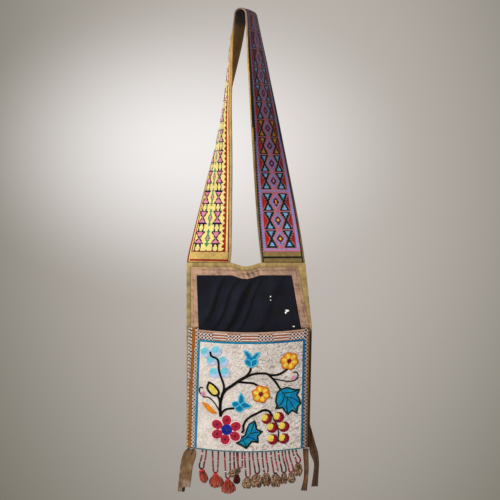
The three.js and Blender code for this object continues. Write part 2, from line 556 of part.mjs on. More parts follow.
// Each berry's centre and the foot of its stalk, and the line that carries the stalks
const BLUE_BERRIES = [[[5.8, 8.5], [10.6, 10.4]], [[16.4, 6.2], [11.3, 11.2]], [[12, 16], [14.5, 13]],
  [[23.2, 16.4], [17.9, 16]], [[15, 28.4], [19.2, 24.5]], [[25.7, 27.3], [19.6, 26]]];
const BLUE_STALK = [[10.3, 7.2], [11.3, 11.2], [17.9, 14.7], [19.5, 25.5], [20.4, 29]];
const BLUE_BERRY_R = 4.9;
const RED_BERRIES = [[[67.9, 73.6], [74.6, 74.4]], [[79.8, 72.8], [74.6, 74.4]], [[73.6, 82.9], [78.6, 81.5]],
  [[85.2, 82.9], [78.6, 81.5]], [[74.4, 94.8], [79.8, 94.8]], [[85.3, 94.8], [79.8, 94.8]]];
const RED_STALK = [[74, 71.6], [74.6, 74.4], [78.6, 81.5], [79.8, 90.6], [79.8, 97.8]];
const RED_BERRY_R = 5;
const cluster = (berries, r) => berries.flatMap(([at, foot]) => [disc(at, r), stem([at, foot], STEM_W)]);
const FLOWER_UPPER = [88.8, 16.9];
const FLOWER_MIDDLE = [61.7, 48.5];
const FLOWER_R = 9.4;

const flowers = {
  leaf_right: [[outline(LEAF_RIGHT)], 0x0f79b0],
  leaf_lower: [[outline(LEAF_LOWER)], 0x0f79b0],
  tulip: [[outline(TULIP)], 0x2aa5d0],
  bell_flower: [[outline(BELL)], 0x2aa5d0],
  orange_leaf: [[outline(ORANGE_LEAF)], 0xf08c1e],
  orange_flower_upper: [[scallop(FLOWER_UPPER, FLOWER_R, 6)], 0xf0a020],
  orange_flower_middle: [[scallop(FLOWER_MIDDLE, FLOWER_R, 6)], 0xf0a020],
  red_flower: [[disc(RED_CENTRE, CENTRE_R), ...PETALS.map((p) => disc(p, PETAL_R))], 0xb5243a],
  blue_berries: [[...cluster(BLUE_BERRIES, BLUE_BERRY_R), stem(BLUE_STALK, STEM_W)], 0x8fcbe8],
  red_berries: [[...cluster(RED_BERRIES, RED_BERRY_R), stem(RED_STALK, STEM_W)], 0xa02638],
};
const made = {};
for (const [name, [outlines, colour]] of Object.entries(flowers)) {
  made[name] = outlines;
  add(name, toGeometry(join(outlines).intersect(motifLayer)), colour, 0.45);
}
const cutters = wasm.Manifold.union(Object.values(made).flat().map((list) => block(list, CLEAR)));
const vineLines = [
  [[[21.4, 31], [24.8, 40.6], [24.4, 47.8], [22.1, 56.9], [21.9, 65.9], [22.6, 72]], STEM_W],
  [[[23.2, 50.6], [26.6, 44.9], [33.6, 39.6], [40.6, 34.2], [47.6, 30.3], [54.7, 27.9], [65.5, 27.8],
    [70, 29.5], [78.1, 29.6], [83.4, 27.3], [87.3, 24.6]], STEM_W],
  [[[43, 33.6], [47, 29.6], [50.2, 25.3], [51, 20.6]], STEM_W],
  [[[38.9, 36.3], [46, 36.6], [54.2, 37.6], [59.2, 40.4]], TENDRIL_W],
  [[[68.2, 28.8], [74.7, 35.6], [80.8, 44.8]], STEM_W],
  [[[72.2, 32.8], [81.9, 35.8], [90.9, 37.4], [95.8, 36.2], [97.9, 32.8], [96.4, 29.1], [92.8, 28.5]],
    TENDRIL_W],
  [[[22.4, 69], [18.8, 62.4], [15, 57.2], [9.9, 53.5], [5, 53.3], [2.4, 49.4], [1.8, 46.3]], TENDRIL_W],
  [[[22.2, 71.2], [25.2, 66.1], [29.1, 63.7], [35.8, 62.8]], STEM_W],
  [[[16.5, 48], [20.2, 53.4], [21.9, 59.5]], STEM_W],
];
const vine = join([...vineLines.map(([list, width]) => stem(list, width)), outline(YELLOW_LEAF)]);
add('vine', toGeometry(vine.subtract(cutters).intersect(motifLayer)), 0x211c1c, 0.5);
const LOWER_STEM = [[43.6, 87.5], [45.4, 84.6], [45.2, 80.2], [47.5, 74.9], [52.7, 70.5], [58.9, 67.5],
  [65, 64.8], [69.5, 65.7], [73.6, 71.6]];
const lowerStem = join([stem(LOWER_STEM, STEM_W)]);
add('lower_stem', toGeometry(lowerStem.subtract(cutters).intersect(motifLayer)), 0x211c1c, 0.5);

// Fringe. Each string is a loop sewn to the hem at two places, with a tassel in its bend.
// Rows: the two places along the hem, the bend's place, its drop, how far it stands forward,
// then the tassel's length, width, lean in degrees and colour.
const RED = 0xb5412f;
const DARK_RED = 0x6e2420;
const TAN = 0x8c6b45;
const FRINGE = [
  [-104, -95, -106, 44, -3, 32, 18, 16, RED],
  [-80, -66, -73, 51, -2, 33, 33, 8, RED],
  [-51, -38, -43, 62, -6, 34, 33, 4, RED],
  [-29, -22, -22, 53, 16, 22, 15, 0, DARK_RED],
  [-19, -9, -14, 36, -18, 30, 15, -58, TAN],
  [-3, 8, 5, 59, -2, 25, 21, -10, TAN],
  [16, 27, 27, 50, -4, 31, 26, -4, TAN],
  [39, 48, 48, 49, 4, 30, 20, 2, TAN],
  [60, 69, 71, 51, -4, 31, 22, 0, TAN],
  [78, 87, 91, 51, 2, 25, 14, 0, TAN],
  [94, 103, 108, 51, -2, 24, 15, 2, TAN],
  [112, 120, 125, 31, -2, 29, 18, -3, TAN],
];
const HEM_Y = POCKET_Y - POCKET_T - CLEAR - FRAME_T / 2;
const STRING_SECTION = new THREE.Shape(round(8).map((k) => new THREE.Vector2(Math.cos(k), Math.sin(k))
  .multiplyScalar(STRING_D / 2)));
const STRING_STEPS = 10;
FRINGE.forEach(([xa, xb, xm, drop, forward, length, width, lean, colour], i) => {
  const number = String(i + 1).padStart(2, '0');
  const start = (x) => zAt(hemH(x)) - CLEAR;
  const bend = Math.min(start(xa), start(xb)) - drop;
  const y = (f) => HEM_Y + forward * smooth(f, 0, 1);
  const line = new THREE.CatmullRomCurve3([
    [xa, y(0), start(xa)], [lerp(xa, xm - LOOP_R, 0.2), y(0.2), lerp(start(xa), bend, 0.3)],
    [xm - LOOP_R, y(0.9), bend + 1.7 * LOOP_R], [xm - 0.86 * LOOP_R, y(1), bend + 0.5 * LOOP_R],
    [xm, y(1), bend],
    [xm + 0.86 * LOOP_R, y(1), bend + 0.5 * LOOP_R], [xm + LOOP_R, y(0.9), bend + 1.7 * LOOP_R],
    [lerp(xb, xm + LOOP_R, 0.2), y(0.2), lerp(start(xb), bend, 0.3)], [xb, y(0), start(xb)],
  ].map((p) => new THREE.Vector3(...p)));
  const strand = { steps: STRING_STEPS, extrudePath: line, bevelEnabled: false };
  add(`string_${number}`, new THREE.ExtrudeGeometry(STRING_SECTION, strand), 0xa4505a, 0.4);
  // Yarn tassel: a knob under the bend, a tied neck and a skirt
  const axis = new THREE.Vector3(Math.sin(rad(lean)), 0, -Math.cos(rad(lean)));
  const across = new THREE.Vector3(Math.cos(rad(lean)), 0, Math.sin(rad(lean)));
  const knob = Math.min(width / 2, 9);
  const sink = knob * 0.12 * Math.abs(Math.sin(rad(lean)));
  const lowest = line.getSpacedPoints(STRING_STEPS).reduce((a, b) => (b.z < a.z ? b : a));
  const top = new THREE.Vector3(lowest.x, lowest.y, lowest.z - STRING_D / 2 - CLEAR - sink);
  const form = [[0, 0.2 * knob], [0.08, 0.75 * knob], [0.25, 0.64 * knob], [0.5, 0.42 * width],
    [0.8, 0.5 * width], [1, 0.34 * width]];
  const skirt = form.map(([f, r]) => round(8).map((k) => top.clone()
    .addScaledVector(axis, f * length).addScaledVector(across, r * Math.cos(k))
    .add(new THREE.Vector3(0, 0.75 * r * Math.sin(k), 0)).toArray()));
  const ring = round(8).map((k) => [Math.cos(k), Math.sin(k)]);
  add(`tassel_${number}`, loft(skirt, ring), colour, 0.95);
});

// Ribbons at the lower corners. Rows: place across and drop from the lower corner, stand forward, width.
const RIBBONS = {
  left_ribbon_front: ['left', [[6, 0, 0, 9], [3.5, 8, -4, 20], [-1.5, 20, -6, 28], [-7, 40, -4, 26],
    [-9, 60, -2, 24], [-10.5, 80, -3, 22], [-11.5, 92, -2, 21]]],
  left_ribbon_back: ['left', [[-4, 0, 1.6, 6], [-9, 10, 6, 14], [-14, 28, 7, 17], [-17, 50, 6, 18],
    [-20, 76, 7, 17.5], [-23, 105, 6, 17]]],
  right_ribbon_inner: ['right', [[-9, 0, 0, 14.6], [-8.6, 20, -3, 12.4], [-7.4, 46, -4, 11.4], [-8.6, 72, -3, 11],
    [-12, 92, -4, 13.4], [-13.6, 101, -3, 15]]],
  right_ribbon_outer: ['right', [[-2, -56, 3.6, 2], [-2.4, -30, 3.6, 10.4], [-1.4, -8, 3.6, 16], [5.6, 14, 3, 15.4],
    [10.6, 38, 1, 12.6], [9, 64, 2, 13], [4.4, 94, 1, 16]]],
};
for (const [name, [corner, rows]] of Object.entries(RIBBONS)) {
  const cornerX = (h) => (corner === 'left' ? leftX(h) + BINDING_LEFT_W : rightX(h));
  const inner = cornerX(BAG_H) + rows[0][0] + (corner === 'left' ? 1 : -1) * rows[0][3] / 2;
  const baseH = rows[0][1] < 0 ? BAG_H : hemH(inner) + CLEAR;
  const line = new THREE.CatmullRomCurve3(rows.map(([x, d, y]) => new THREE.Vector3(
    cornerX(Math.min(BAG_H + d, BAG_H)) + x, y, zAt(baseH + d))));
  const widths = rows.map((row, i) => [i / (rows.length - 1), row[3]]);
  const face = (side) => (t, k) => {
    const p = line.getPoint(t);
    const half = along(widths, t) / 2;
    const edge = corner === 'right' && rows[0][1] < 0 ? p.x + half + half * k : p.x + half * k;
    return [edge, p.y + side * RIBBON_T / 2 + 0.8 * (1 - k * k), p.z];
  };
  add(name, slab(steps(0, 1, 8), [-1, -0.33, 0.33, 1], face(-1), face(1)), 0x7a5a3c);
}

export default group;
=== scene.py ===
"""A beaded shoulder bag that hangs by its strap, with a fringe of bead strings and yarn tassels.

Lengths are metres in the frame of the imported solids: X across, Y away from the viewer, Z up.
h is a distance down from the bag's top corners, s runs 0 to 3 along the strap.
"""

import bpy
import numpy as np
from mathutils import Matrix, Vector


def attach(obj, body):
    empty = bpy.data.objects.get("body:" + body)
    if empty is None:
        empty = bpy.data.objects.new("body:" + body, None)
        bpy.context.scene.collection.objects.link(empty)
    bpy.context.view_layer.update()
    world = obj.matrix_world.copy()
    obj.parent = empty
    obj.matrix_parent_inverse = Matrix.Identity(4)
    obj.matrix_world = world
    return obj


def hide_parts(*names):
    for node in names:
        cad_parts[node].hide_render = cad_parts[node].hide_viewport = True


bl_info = {
    "name": "Beaded Bandolier Bag",
    "version": (1, 0, 0),
    "blender": (4, 5, 0),
    "location": "View3D > Sidebar > Bag",
    "description": "Builds the beadwork, cloth, ribbons and fringe of a bandolier bag",
    "category": "Add Mesh",
}

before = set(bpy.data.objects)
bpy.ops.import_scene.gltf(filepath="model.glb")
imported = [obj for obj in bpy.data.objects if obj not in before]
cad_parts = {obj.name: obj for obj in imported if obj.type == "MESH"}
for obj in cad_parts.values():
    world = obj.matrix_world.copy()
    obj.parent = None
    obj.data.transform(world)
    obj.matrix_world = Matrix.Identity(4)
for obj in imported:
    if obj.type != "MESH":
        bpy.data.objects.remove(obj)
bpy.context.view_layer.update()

MM = 0.001
CLEAR = 0.3 * MM

# Strap
STRAP_DROP = 604 * MM
STRAP_W = 102 * MM
LINING_T = 2 * MM
STRAP_BEAD_T = 1.8 * MM
EDGE_FLANGE_W = 5 * MM
EDGE_FLANGE_T = 1.4 * MM
EDGE_WRAP_T = 1.2 * MM
STRAP_LAP = 18 * MM
TAB_H = 26 * MM
TAB_T = 1.4 * MM
CROWN_R = 12 * MM
CROWN_TURN = np.radians(14.5)
LEFT_BOW = 12 * MM
CROWN_BOW = 3 * MM
STRAP_INSET = 0.5 * MM

# Bag
BAG_H = 443 * MM
BAG_HALF = 142.5 * MM
FLARE = 16 * MM
TAPER = 6 * MM
TOP_DIP = 9 * MM
HEM_SAG = 12 * MM
BACK_T = 2.6 * MM
WOOL_T = 1.8 * MM
WOOL_TUCK = 20 * MM
BINDING_LEFT_W = 10 * MM
BINDING_LEFT_LOW_W = 3.5 * MM
BINDING_RIGHT_W = 19 * MM
BINDING_RIGHT_LOW_W = 4.5 * MM
BINDING_TOP_W = 10 * MM
BINDING_T = 2.4 * MM
BINDING_WRAP_T = 1.2 * MM
BORDER_LEFT_W = 13 * MM
BORDER_RIGHT_W = 18.5 * MM
BORDER_TOP_W = 20 * MM
BORDER_MEAN_W = 17 * MM
BORDER_T = 1.6 * MM

# Pocket
MOUTH_H = 157 * MM
MOUTH_SAG = 10 * MM
POCKET_GAP = 16 * MM
POCKET_T = 1.6 * MM
POCKET_BEAD_T = 1.8 * MM
MOUTH_BAND_H = 23 * MM
MOUTH_BAND_T = 1.8 * MM
BAND_LEFT_W = 18.5 * MM
BAND_LEFT_LOW_W = 15.5 * MM
BAND_RIGHT_W = 11 * MM
CORNER_STEP = 10 * MM
FRAME_W = 4.6 * MM
HEM_W = 2.4 * MM
FRAME_T = 2.2 * MM
MOTIF_T = 1.2 * MM
DESIGN_W = 102
DESIGN_H = 108
DESIGN_TOP = 1.9

# Fringe
STRING_D = 2.4 * MM
LOOP_R = 5.2 * MM
RIBBON_T = 1 * MM

# Camera: 500 pixels show PICTURE_W at the strap's plane
CAMERA_REACH = 6.5
PICTURE_W = 1.2
PICTURE_MID = (9.84 * MM, -573.6 * MM)
SENSOR_W = 36.0
FLOOR_Z = -1.72


def linear(code):
    """Linear colour of a six-digit hex code: each channel through the sRGB curve."""
    channel = np.array([int(code[i:i + 2], 16) for i in (0, 2, 4)]) / 255
    return tuple(np.where(channel <= 0.04045, channel / 12.92, ((channel + 0.055) / 1.055) ** 2.4))


def colour(label, code, note):
    """A colour property with a hex code as its default."""
    return bpy.props.FloatVectorProperty(
        name=label, description=note, subtype="COLOR", size=3, min=0, max=1, default=linear(code))


def length(label, metres, note):
    """A length property."""
    return bpy.props.FloatProperty(name=label, description=note, default=metres, min=0, unit="LENGTH")


def share_of_light(label, value, note):
    """A share between none and all."""
    return bpy.props.FloatProperty(name=label, description=note, default=value, min=0, max=1,
                                   subtype="FACTOR")


class BagColours(bpy.types.PropertyGroup):
    """Colours of the beads, cloths and yarns."""

    yellow: colour("Yellow", "EFDC86", "Ground of the left strap")
    rose: colour("Rose", "E28CA2", "Hourglasses of the left strap")
    navy: colour("Navy", "17103C", "Outlines of the left strap")
    green: colour("Green", "458A62", "Chain of the left strap")
    brick: colour("Brick", "98281F", "Zigzag edge of the left strap")
    lavender: colour("Lavender", "8F9AD8", "Borders of the right strap")
    pink: colour("Pink", "C8788A", "Lines of the right strap")
    red: colour("Red", "BA2A22", "Triangles of the right strap")
    deep_red: colour("Deep red", "82161C", "Diamonds of the right strap")
    pine: colour("Pine", "0C2A23", "Outlines of the right strap")
    light_blue: colour("Light blue", "86B4E2", "Fill of the right strap")
    tangerine: colour("Tangerine", "E2932B", "Second fill of the right strap")
    ground: colour("Ground", "DFD6CF", "Ground of the pocket")
    teal: colour("Teal", "0896BC", "Line around the pocket")
    leaf: colour("Leaf", "0682BA", "Fill of the leaves")
    leaf_light: colour("Leaf light", "0A98B8", "Lighter part of the leaves")
    leaf_edge: colour("Leaf edge", "062A20", "Outlines and veins of the leaves")
    turquoise: colour("Turquoise", "82DCEA", "Upper part of the blue berries")
    pale_blue: colour("Pale blue", "C4D6F6", "Lower part of the blue berries")
    cyan: colour("Cyan", "55C8E8", "Outlines of the blue flowers")
    flower_blue: colour("Flower blue", "0E86B8", "Fill of the blue flowers")
    orange: colour("Orange", "F09216", "Orange flowers and leaf")
    orange_edge: colour("Orange edge", "C76A0E", "Rims of the orange flowers")
    petal_yellow: colour("Petal yellow", "F6DE5E", "Petals, berries and leaf")
    petal_red: colour("Petal red", "BC2A42", "Petals of the red flower")
    petal_edge: colour("Petal edge", "F6D3D9", "Outlines of the red flower")
    crimson: colour("Crimson", "84112A", "Berries and flower centres")
    royal: colour("Royal blue", "22309B", "Centre of the red flower")
    bud: colour("Bud", "DE93B4", "Buds on the tendrils")
    stem: colour("Stem", "0E0B0B", "Stems and tendrils")
    amber: colour("Amber", "C0782A", "Line along the pocket's sides")
    white: colour("White", "F2ECE8", "Net along the mouth and sides")
    rust: colour("Rust", "A4603C", "Stripes along the mouth")
    dark_bead: colour("Dark", "4A3434", "Checks along the pocket's sides")
    net_mauve: colour("Net mauve", "8E7478", "Lighter checks along the pocket's sides")
    shade: colour("Shade", "3C2A18", "Dark edge of the pocket's right side")
    string_red: colour("String red", "9C3840", "Strings of the fringe")
    string_dark: colour("String dark", "44221E", "Dark stretches of the strings")
    string_pale: colour("String pale", "C88888", "Faded beads of the strings")
    lining: colour("Lining", "A68458", "Cloth inside the strap")
    olive: colour("Olive", "A88E5C", "Tape around the bag and the strap's tabs")
    tab_gold: colour("Tab gold", "CBAC63", "Cloth below the left strap panel")
    tab_olive: colour("Tab olive", "8C7646", "Cloth below the right strap panel")
    gold: colour("Gold", "B79E70", "Tape along the strap's inner edge")
    black: colour("Black", "17130F", "Dark line beside the right strap's beads")
    mauve: colour("Mauve", "B8947E", "Ribbon border")
    wool: colour("Wool", "0E0F19", "Dark cloth above the pocket")
    lint: colour("Lint", "FFFDFA", "Specks on the dark cloth")
    pocket: colour("Pocket", "B08D6C", "Cloth of the pocket")
    back: colour("Back", "75593A", "Rear cloth")
    ribbon: colour("Ribbon", "80603F", "Ribbons at the lower corners")
    yarn_red: colour("Red yarn", "9E3522", "Faded red tassels")
    yarn_dark: colour("Dark red yarn", "5E1A18", "Dark red tassel")
    yarn_tan: colour("Tan yarn", "8A6C54", "Tan tassels")
    yarn_faded: colour("Faded red yarn", "BE7C6A", "Tips of the red tassels")
    wear: colour("Wear", "A39180", "Worn places of the ribbons")
    knot: colour("Knot", "D2342A", "Bead at the head of a red tassel")


class BagSizes(bpy.types.PropertyGroup):
    """Sizes of the beads, threads and folds."""

    strap_beads: bpy.props.IntProperty(
        name="Beads across the strap", description="Beads in a row of a strap panel", default=39, min=9)
    ground_bead: length("Ground bead", 2.6 * MM, "Width of a bead of the pocket's ground")
    net_bead: length("Net bead", 1.7 * MM, "Width of a bead of the mouth and side bands")
    string_bead: length("String bead", 2.2 * MM, "Length of a bead of the fringe")
    string_width: length("String width", 4.8 * MM, "Width of a bead of the fringe")
    fold_depth: length("Fold depth", 4 * MM, "How far the dark cloth's folds stand out")
    yarn: length("Yarn", 2.3 * MM, "Thickness of the tassels' yarn")
    thread: length("Thread", 0.9 * MM, "Spacing of the threads in the cloth")


class BagStage(bpy.types.PropertyGroup):
    """Light and backdrop."""

    key_share: share_of_light("Key light", 0.9, "Share of the light from the front left")
    fill_share: share_of_light("Fill light", 0.16, "Share of the light from the front right")
    sky_share: share_of_light("Room light", 0.28, "Share of the light from all sides")
    floor: colour("Floor", "D2CDC6", "Floor below the bag")
    room: colour("Room", "CFCAC3", "Surroundings away from the backdrop")
    wall: colour("Wall", "565340", "Outer part of the backdrop")
    wall_mid: colour("Wall middle", "C4BDB7", "Middle part of the backdrop")
    wall_glow: colour("Wall glow", "F2EEEC", "Bright part of the backdrop")


def tone(name):
    """A named colour as an array."""
    return np.array(getattr(bpy.context.scene.bag_colours, name)[:])


# Small sums
def lerp(a, b, t):
    """The value at share t of the way from a to b."""
    return a + (b - a) * t


def smooth(value, low, high):
    """Smooth step: 3t^2 - 2t^3 between two limits."""
    t = np.clip((value - low) / (high - low), 0, 1)
    return t * t * (3 - 2 * t)


def unit(vectors):
    """Vectors at length one."""
    return vectors / np.linalg.norm(vectors, axis=-1, keepdims=True)


def along(table, t):
    """A smooth value from rows of place and value: cubic pieces with the slope of their neighbours."""
    x, y = np.array(table, float).T
    last = len(x) - 1
    k = np.arange(last + 1)
    before, after = np.maximum(k - 1, 0), np.minimum(k + 1, last)
    slope = (y[after] - y[before]) / (x[after] - x[before])
    i = np.clip(np.searchsorted(x, t) - 1, 0, last - 1)
    span = x[i + 1] - x[i]
    f = np.clip((t - x[i]) / span, 0, 1)
    return ((1 + 2 * f) * (1 - f) ** 2 * y[i] + f * (1 - f) ** 2 * span * slope[i]
            + f * f * (3 - 2 * f) * y[i + 1] + f * f * (f - 1) * span * slope[i + 1])


def catmull(points, count):
    """Points along a centripetal Catmull-Rom line through the given points, evenly in its parameter."""
    p = np.asarray(points, float)
    q = np.vstack([2 * p[0] - p[1], p, 2 * p[-1] - p[-2]])
    t = np.linspace(0, len(p) - 1, count)
    i = np.minimum(t.astype(int), len(p) - 2)
    f = (t - i)[:, None]
    p0, p1, p2, p3 = q[i], q[i + 1], q[i + 2], q[i + 3]

    def knot(a, b):
        """Square root of the distance between two points."""
        return np.sqrt(np.linalg.norm(b - a, axis=1, keepdims=True))

    d0, d1, d2 = knot(p0, p1), knot(p1, p2), knot(p2, p3)
    m1 = ((p1 - p0) / d0 - (p2 - p0) / (d0 + d1) + (p2 - p1) / d1) * d1
    m2 = ((p2 - p1) / d1 - (p3 - p1) / (d1 + d2) + (p3 - p2) / d2) * d1
    return (p1 + m1 * f + (3 * (p2 - p1) - 2 * m1 - m2) * f ** 2 + (2 * (p1 - p2) + m1 + m2) * f ** 3)


def run_along(line):
    """Distance of each point of a line from its first one, along the line."""
    return np.concatenate([[0], np.cumsum(np.linalg.norm(np.diff(line, axis=0), axis=1))])


def spaced(line, count):
    """A line's points again, at even distances along it."""
    run = run_along(line)
    at = np.linspace(0, run[-1], count)
    return np.stack([np.interp(at, run, column) for column in line.T], -1)


def line_length(line):
    """Length of a line of points."""
    return float(np.linalg.norm(np.diff(line, axis=0), axis=1).sum())


def mottle(a, b, grain, seed):
    """A soft random field between about -1 and 1: eight plane waves of mixed direction and phase."""
    rng = np.random.default_rng(seed)
    turn, phase = rng.uniform(0, 2 * np.pi, (2, 8))
    wave = rng.uniform(0.5, 1.5, 8) * 2 * np.pi / grain
    place = np.multiply.outer(a, wave * np.cos(turn)) + np.multiply.outer(b, wave * np.sin(turn))
    return np.sin(place + phase).sum(-1) / 3


def varied(base, shape, amount, seed):
    """A colour spread over a shape, each place a little lighter or darker than the next."""
    rng = np.random.default_rng(seed)
    light = 1 + amount * rng.normal(size=shape)[..., None]
    return np.clip(np.broadcast_to(base, tuple(shape) + (3,)) * light, 0, 1)


# Strap surface
LEG = STRAP_DROP - CROWN_R
CROWN_MID = CROWN_R + LINING_T
STRAP_X = BAG_HALF - STRAP_INSET - EDGE_WRAP_T - CLEAR - STRAP_W / 2
STRAP_Y = BACK_T + CLEAR
TURN_TOP = 90 - np.degrees(CROWN_TURN)
LEFT_TURN = [[0, 0], [0.05, 14], [0.09, 24], [0.17, 36], [0.25, 46], [0.33, 54], [0.45, 66], [0.58, 79],
             [0.66, 86], [0.74, 91], [0.82, 97], [0.9, 102], [1, 180 - TURN_TOP]]
RIGHT_TURN = [[0, 0], [0.05, 5], [0.09, 10], [0.17, 19], [0.25, 27], [0.33, 34], [0.45, 43], [0.58, 51],
              [0.66, 56], [0.74, 61], [0.82, 65], [0.9, 70], [1, TURN_TOP]]
CROWN_X, CROWN_Y = np.cos(CROWN_TURN), -np.sin(CROWN_TURN)
SEAM = 3 * CLEAR / LEG
TAB = TAB_H / LEG
BEAD_HALF = STRAP_W / 2 - EDGE_FLANGE_W - CLEAR


def bow_at(side, t):
    """How far the strap bows out across its width, by its side and height."""
    left = lerp(LEFT_BOW, CROWN_BOW, smooth(t, 0.9, 1))
    return smooth(t, 0.05, 0.6) * np.where(side < 0, left, CROWN_BOW)


def strap_face(s, w):
    """The strap's face: two straight legs that turn and bow as they rise, and a half circle over the top."""
    s, w = np.broadcast_arrays(np.asarray(s, float), np.asarray(w, float))
    across = 1 - (w / (STRAP_W / 2)) ** 2
    turn = np.pi * (2 - s)
    out = CROWN_MID + CROWN_BOW * np.cos(turn) ** 2 * across
    reach = out * np.cos(turn)
    crown = np.stack([reach * CROWN_X - w * CROWN_Y, reach * CROWN_Y + w * CROWN_X,
                      -CROWN_R + out * np.sin(turn)], -1)
    side = np.where(s <= 1.5, -1.0, 1.0)
    rise = np.where(s <= 1.5, s, 3 - s)
    t = np.clip(rise, 0, 1)
    turn = np.radians(np.where(s <= 1.5, -along(LEFT_TURN, t), along(RIGHT_TURN, t)))
    bow = bow_at(side, t) * across
    x = side * lerp(STRAP_X, CROWN_MID * CROWN_X, t)
    y = lerp(STRAP_Y, side * CROWN_MID * CROWN_Y, t)
    leg = np.stack([x + side * w * np.cos(turn) + bow * np.sin(turn),
                    y + side * w * np.sin(turn) - bow * np.cos(turn), -STRAP_DROP + rise * LEG], -1)
    return np.where(((s > 1) & (s < 2))[..., None], crown, leg)


def strap_point(s, w, n):
    """A point at height n above the strap's face, along the cross product of its two directions."""
    e = 1e-3
    up = strap_face(s + e, w) - strap_face(s - e, w)
    out = strap_face(s, w + e * LEG) - strap_face(s, w - e * LEG)
    return strap_face(s, w) + unit(np.cross(up, out)) * np.asarray(n)[..., None]


def strap_place(run):
    """The strap's s at a length along it, measured from the foot of the left half."""
    arc = np.pi * CROWN_MID
    later = np.where(run < LEG + arc, 1 + (run - LEG) / arc, 2 + (run - LEG - arc) / LEG)
    return np.where(run < LEG, run / LEG, later)


STRAP_RUN = 2 * LEG + np.pi * CROWN_MID


# Bag outline
def z_at(h):
    """Height of a place at distance h below the bag's top corners."""
    return -STRAP_DROP - h


def low(h):
    """Share of the way from the mouth's ends down to the hem's ends."""
    return np.clip((h - MOUTH_H) / (BAG_H - MOUTH_H), 0, 1)


def high(h):
    """Share of the way from the top down to the mouth's ends."""
    return np.clip(h / MOUTH_H, 0, 1)


def left_x(h):
    """The bag's left side: an upright line."""
    return -BAG_HALF + 0 * h


def right_x(h):
    """The bag's right side: it leans out down to the mouth and in again below."""
    return BAG_HALF + FLARE * high(h) - TAPER * low(h)


def mid_x(h):
    """Halfway between the two sides."""
    return (left_x(h) + right_x(h)) / 2


GAP_HALF = STRAP_X - STRAP_W / 2


def top_h(x):
    """The top edge: a smooth dip between the strap's ends, level elsewhere."""
    return TOP_DIP * np.maximum(0, 1 - (x / GAP_HALF) ** 2) ** 2


def spread(x, h):
    """Place across the bag: -1 at the left side, 0 in the middle, 1 at the right side."""
    return np.clip((x - mid_x(h)) / (right_x(h) - mid_x(h)), -1, 1)


def hem_h(x):
    """The hem: a parabola, lowest in the middle."""
    return BAG_H + HEM_SAG * (1 - spread(x, BAG_H) ** 2)


def mouth_h(x):
    """The pocket's mouth: a parabola, lowest in the middle."""
    return MOUTH_H + MOUTH_SAG * (1 - spread(x, MOUTH_H) ** 2)


def bind_left(h):
    """Width of the binding on the left: it narrows below the mouth."""
    return lerp(BINDING_LEFT_W, BINDING_LEFT_LOW_W, low(h))


def bind_right(h):
    """Width of the binding on the right: it narrows down to the mouth."""
    return lerp(BINDING_RIGHT_W, BINDING_RIGHT_LOW_W, high(h))


def strip_left0(h):
    """Outer edge of the border and the side band on the left."""
    return left_x(h) + bind_left(h) + CLEAR


def strip_left1(h):
    """Inner edge of the border and, below the mouth, of the side band on the left."""
    width = np.where(h < MOUTH_H, lerp(BORDER_LEFT_W, BAND_LEFT_W, high(h)),
                     lerp(BAND_LEFT_W, BAND_LEFT_LOW_W, low(h)))
    return strip_left0(h) + width


def strip_right0(h):
    """Outer edge of the border and the side band on the right."""
    return right_x(h) - bind_right(h) - CLEAR


def strip_right1(h):
    """Inner edge of the side band on the right."""
    return strip_right0(h) - BAND_RIGHT_W


def border_right1(h):
    """Inner edge of the ribbon border on the right."""
    return strip_right0(h) - lerp(BORDER_RIGHT_W, BAND_RIGHT_W + CORNER_STEP, high(h))


def patch(x0, x1, h0, h1):
    """A four-sided patch of the bag: u across between two edges, v down between two more."""
    def place(u, v):
        """x and h shared out between the edges, in rounds until both pairs agree."""
        u, v = np.broadcast_arrays(np.asarray(u, float), np.asarray(v, float))
        h = lerp(h0(0.0), h1(0.0), v)
        for _ in range(4):
            x = lerp(x0(h), x1(h), u)
            h = lerp(h0(x), h1(x), v)
        return x, h
    return place


POCKET_Y = -CLEAR - WOOL_T - CLEAR
SKIN = POCKET_T + CLEAR
HEM_Y = POCKET_Y - POCKET_T - CLEAR - FRAME_T / 2


def pocket_left(h):
    """Left edge of the pocket's cloth."""
    return strip_left1(h) + CLEAR


def pocket_right(h):
    """Right edge of the pocket's cloth."""
    return strip_right1(h) - CLEAR


def pocket_y(x, h):
    """The pocket's inner face: it stands out in the middle of the mouth and comes in to the sides and hem."""
    mid = (pocket_left(h) + pocket_right(h)) / 2
    across = np.clip((x - mid) / (pocket_right(h) - mid), -1, 1)
    return POCKET_Y - POCKET_GAP * (1 - across ** 2) * (1 - low(h) ** 2)


def mouth_low(x):
    """Lower edge of the band along the mouth."""
    return mouth_h(x) + MOUTH_BAND_H


def frame_top0(x):
    """Upper edge of the blue line."""
    return mouth_low(x) + CLEAR


pocket_place = patch(pocket_left, pocket_right, mouth_h, hem_h)
band_place = patch(pocket_left, pocket_right, mouth_h, mouth_low)
framed_place = patch(pocket_left, pocket_right, frame_top0, hem_h)
inside_place = patch(lambda h: pocket_left(h) + FRAME_W, lambda h: pocket_right(h) - FRAME_W,
                     lambda x: frame_top0(x) + FRAME_W, lambda x: hem_h(x) - HEM_W)
panel_place = patch(lambda h: pocket_left(h) + FRAME_W + CLEAR, lambda h: pocket_right(h) - FRAME_W - CLEAR,
                    lambda x: frame_top0(x) + FRAME_W + CLEAR, lambda x: hem_h(x) - HEM_W - CLEAR)


def pocket_normal(x, h):
    """The pocket face's direction outwards, from its slopes across and down."""
    e = 0.5 * MM
    slope_x = (pocket_y(x + e, h) - pocket_y(x - e, h)) / (2 * e)
    slope_z = (pocket_y(x, h - e) - pocket_y(x, h + e)) / (2 * e)
    return unit(np.stack([slope_x, -np.ones_like(slope_x), slope_z], -1))


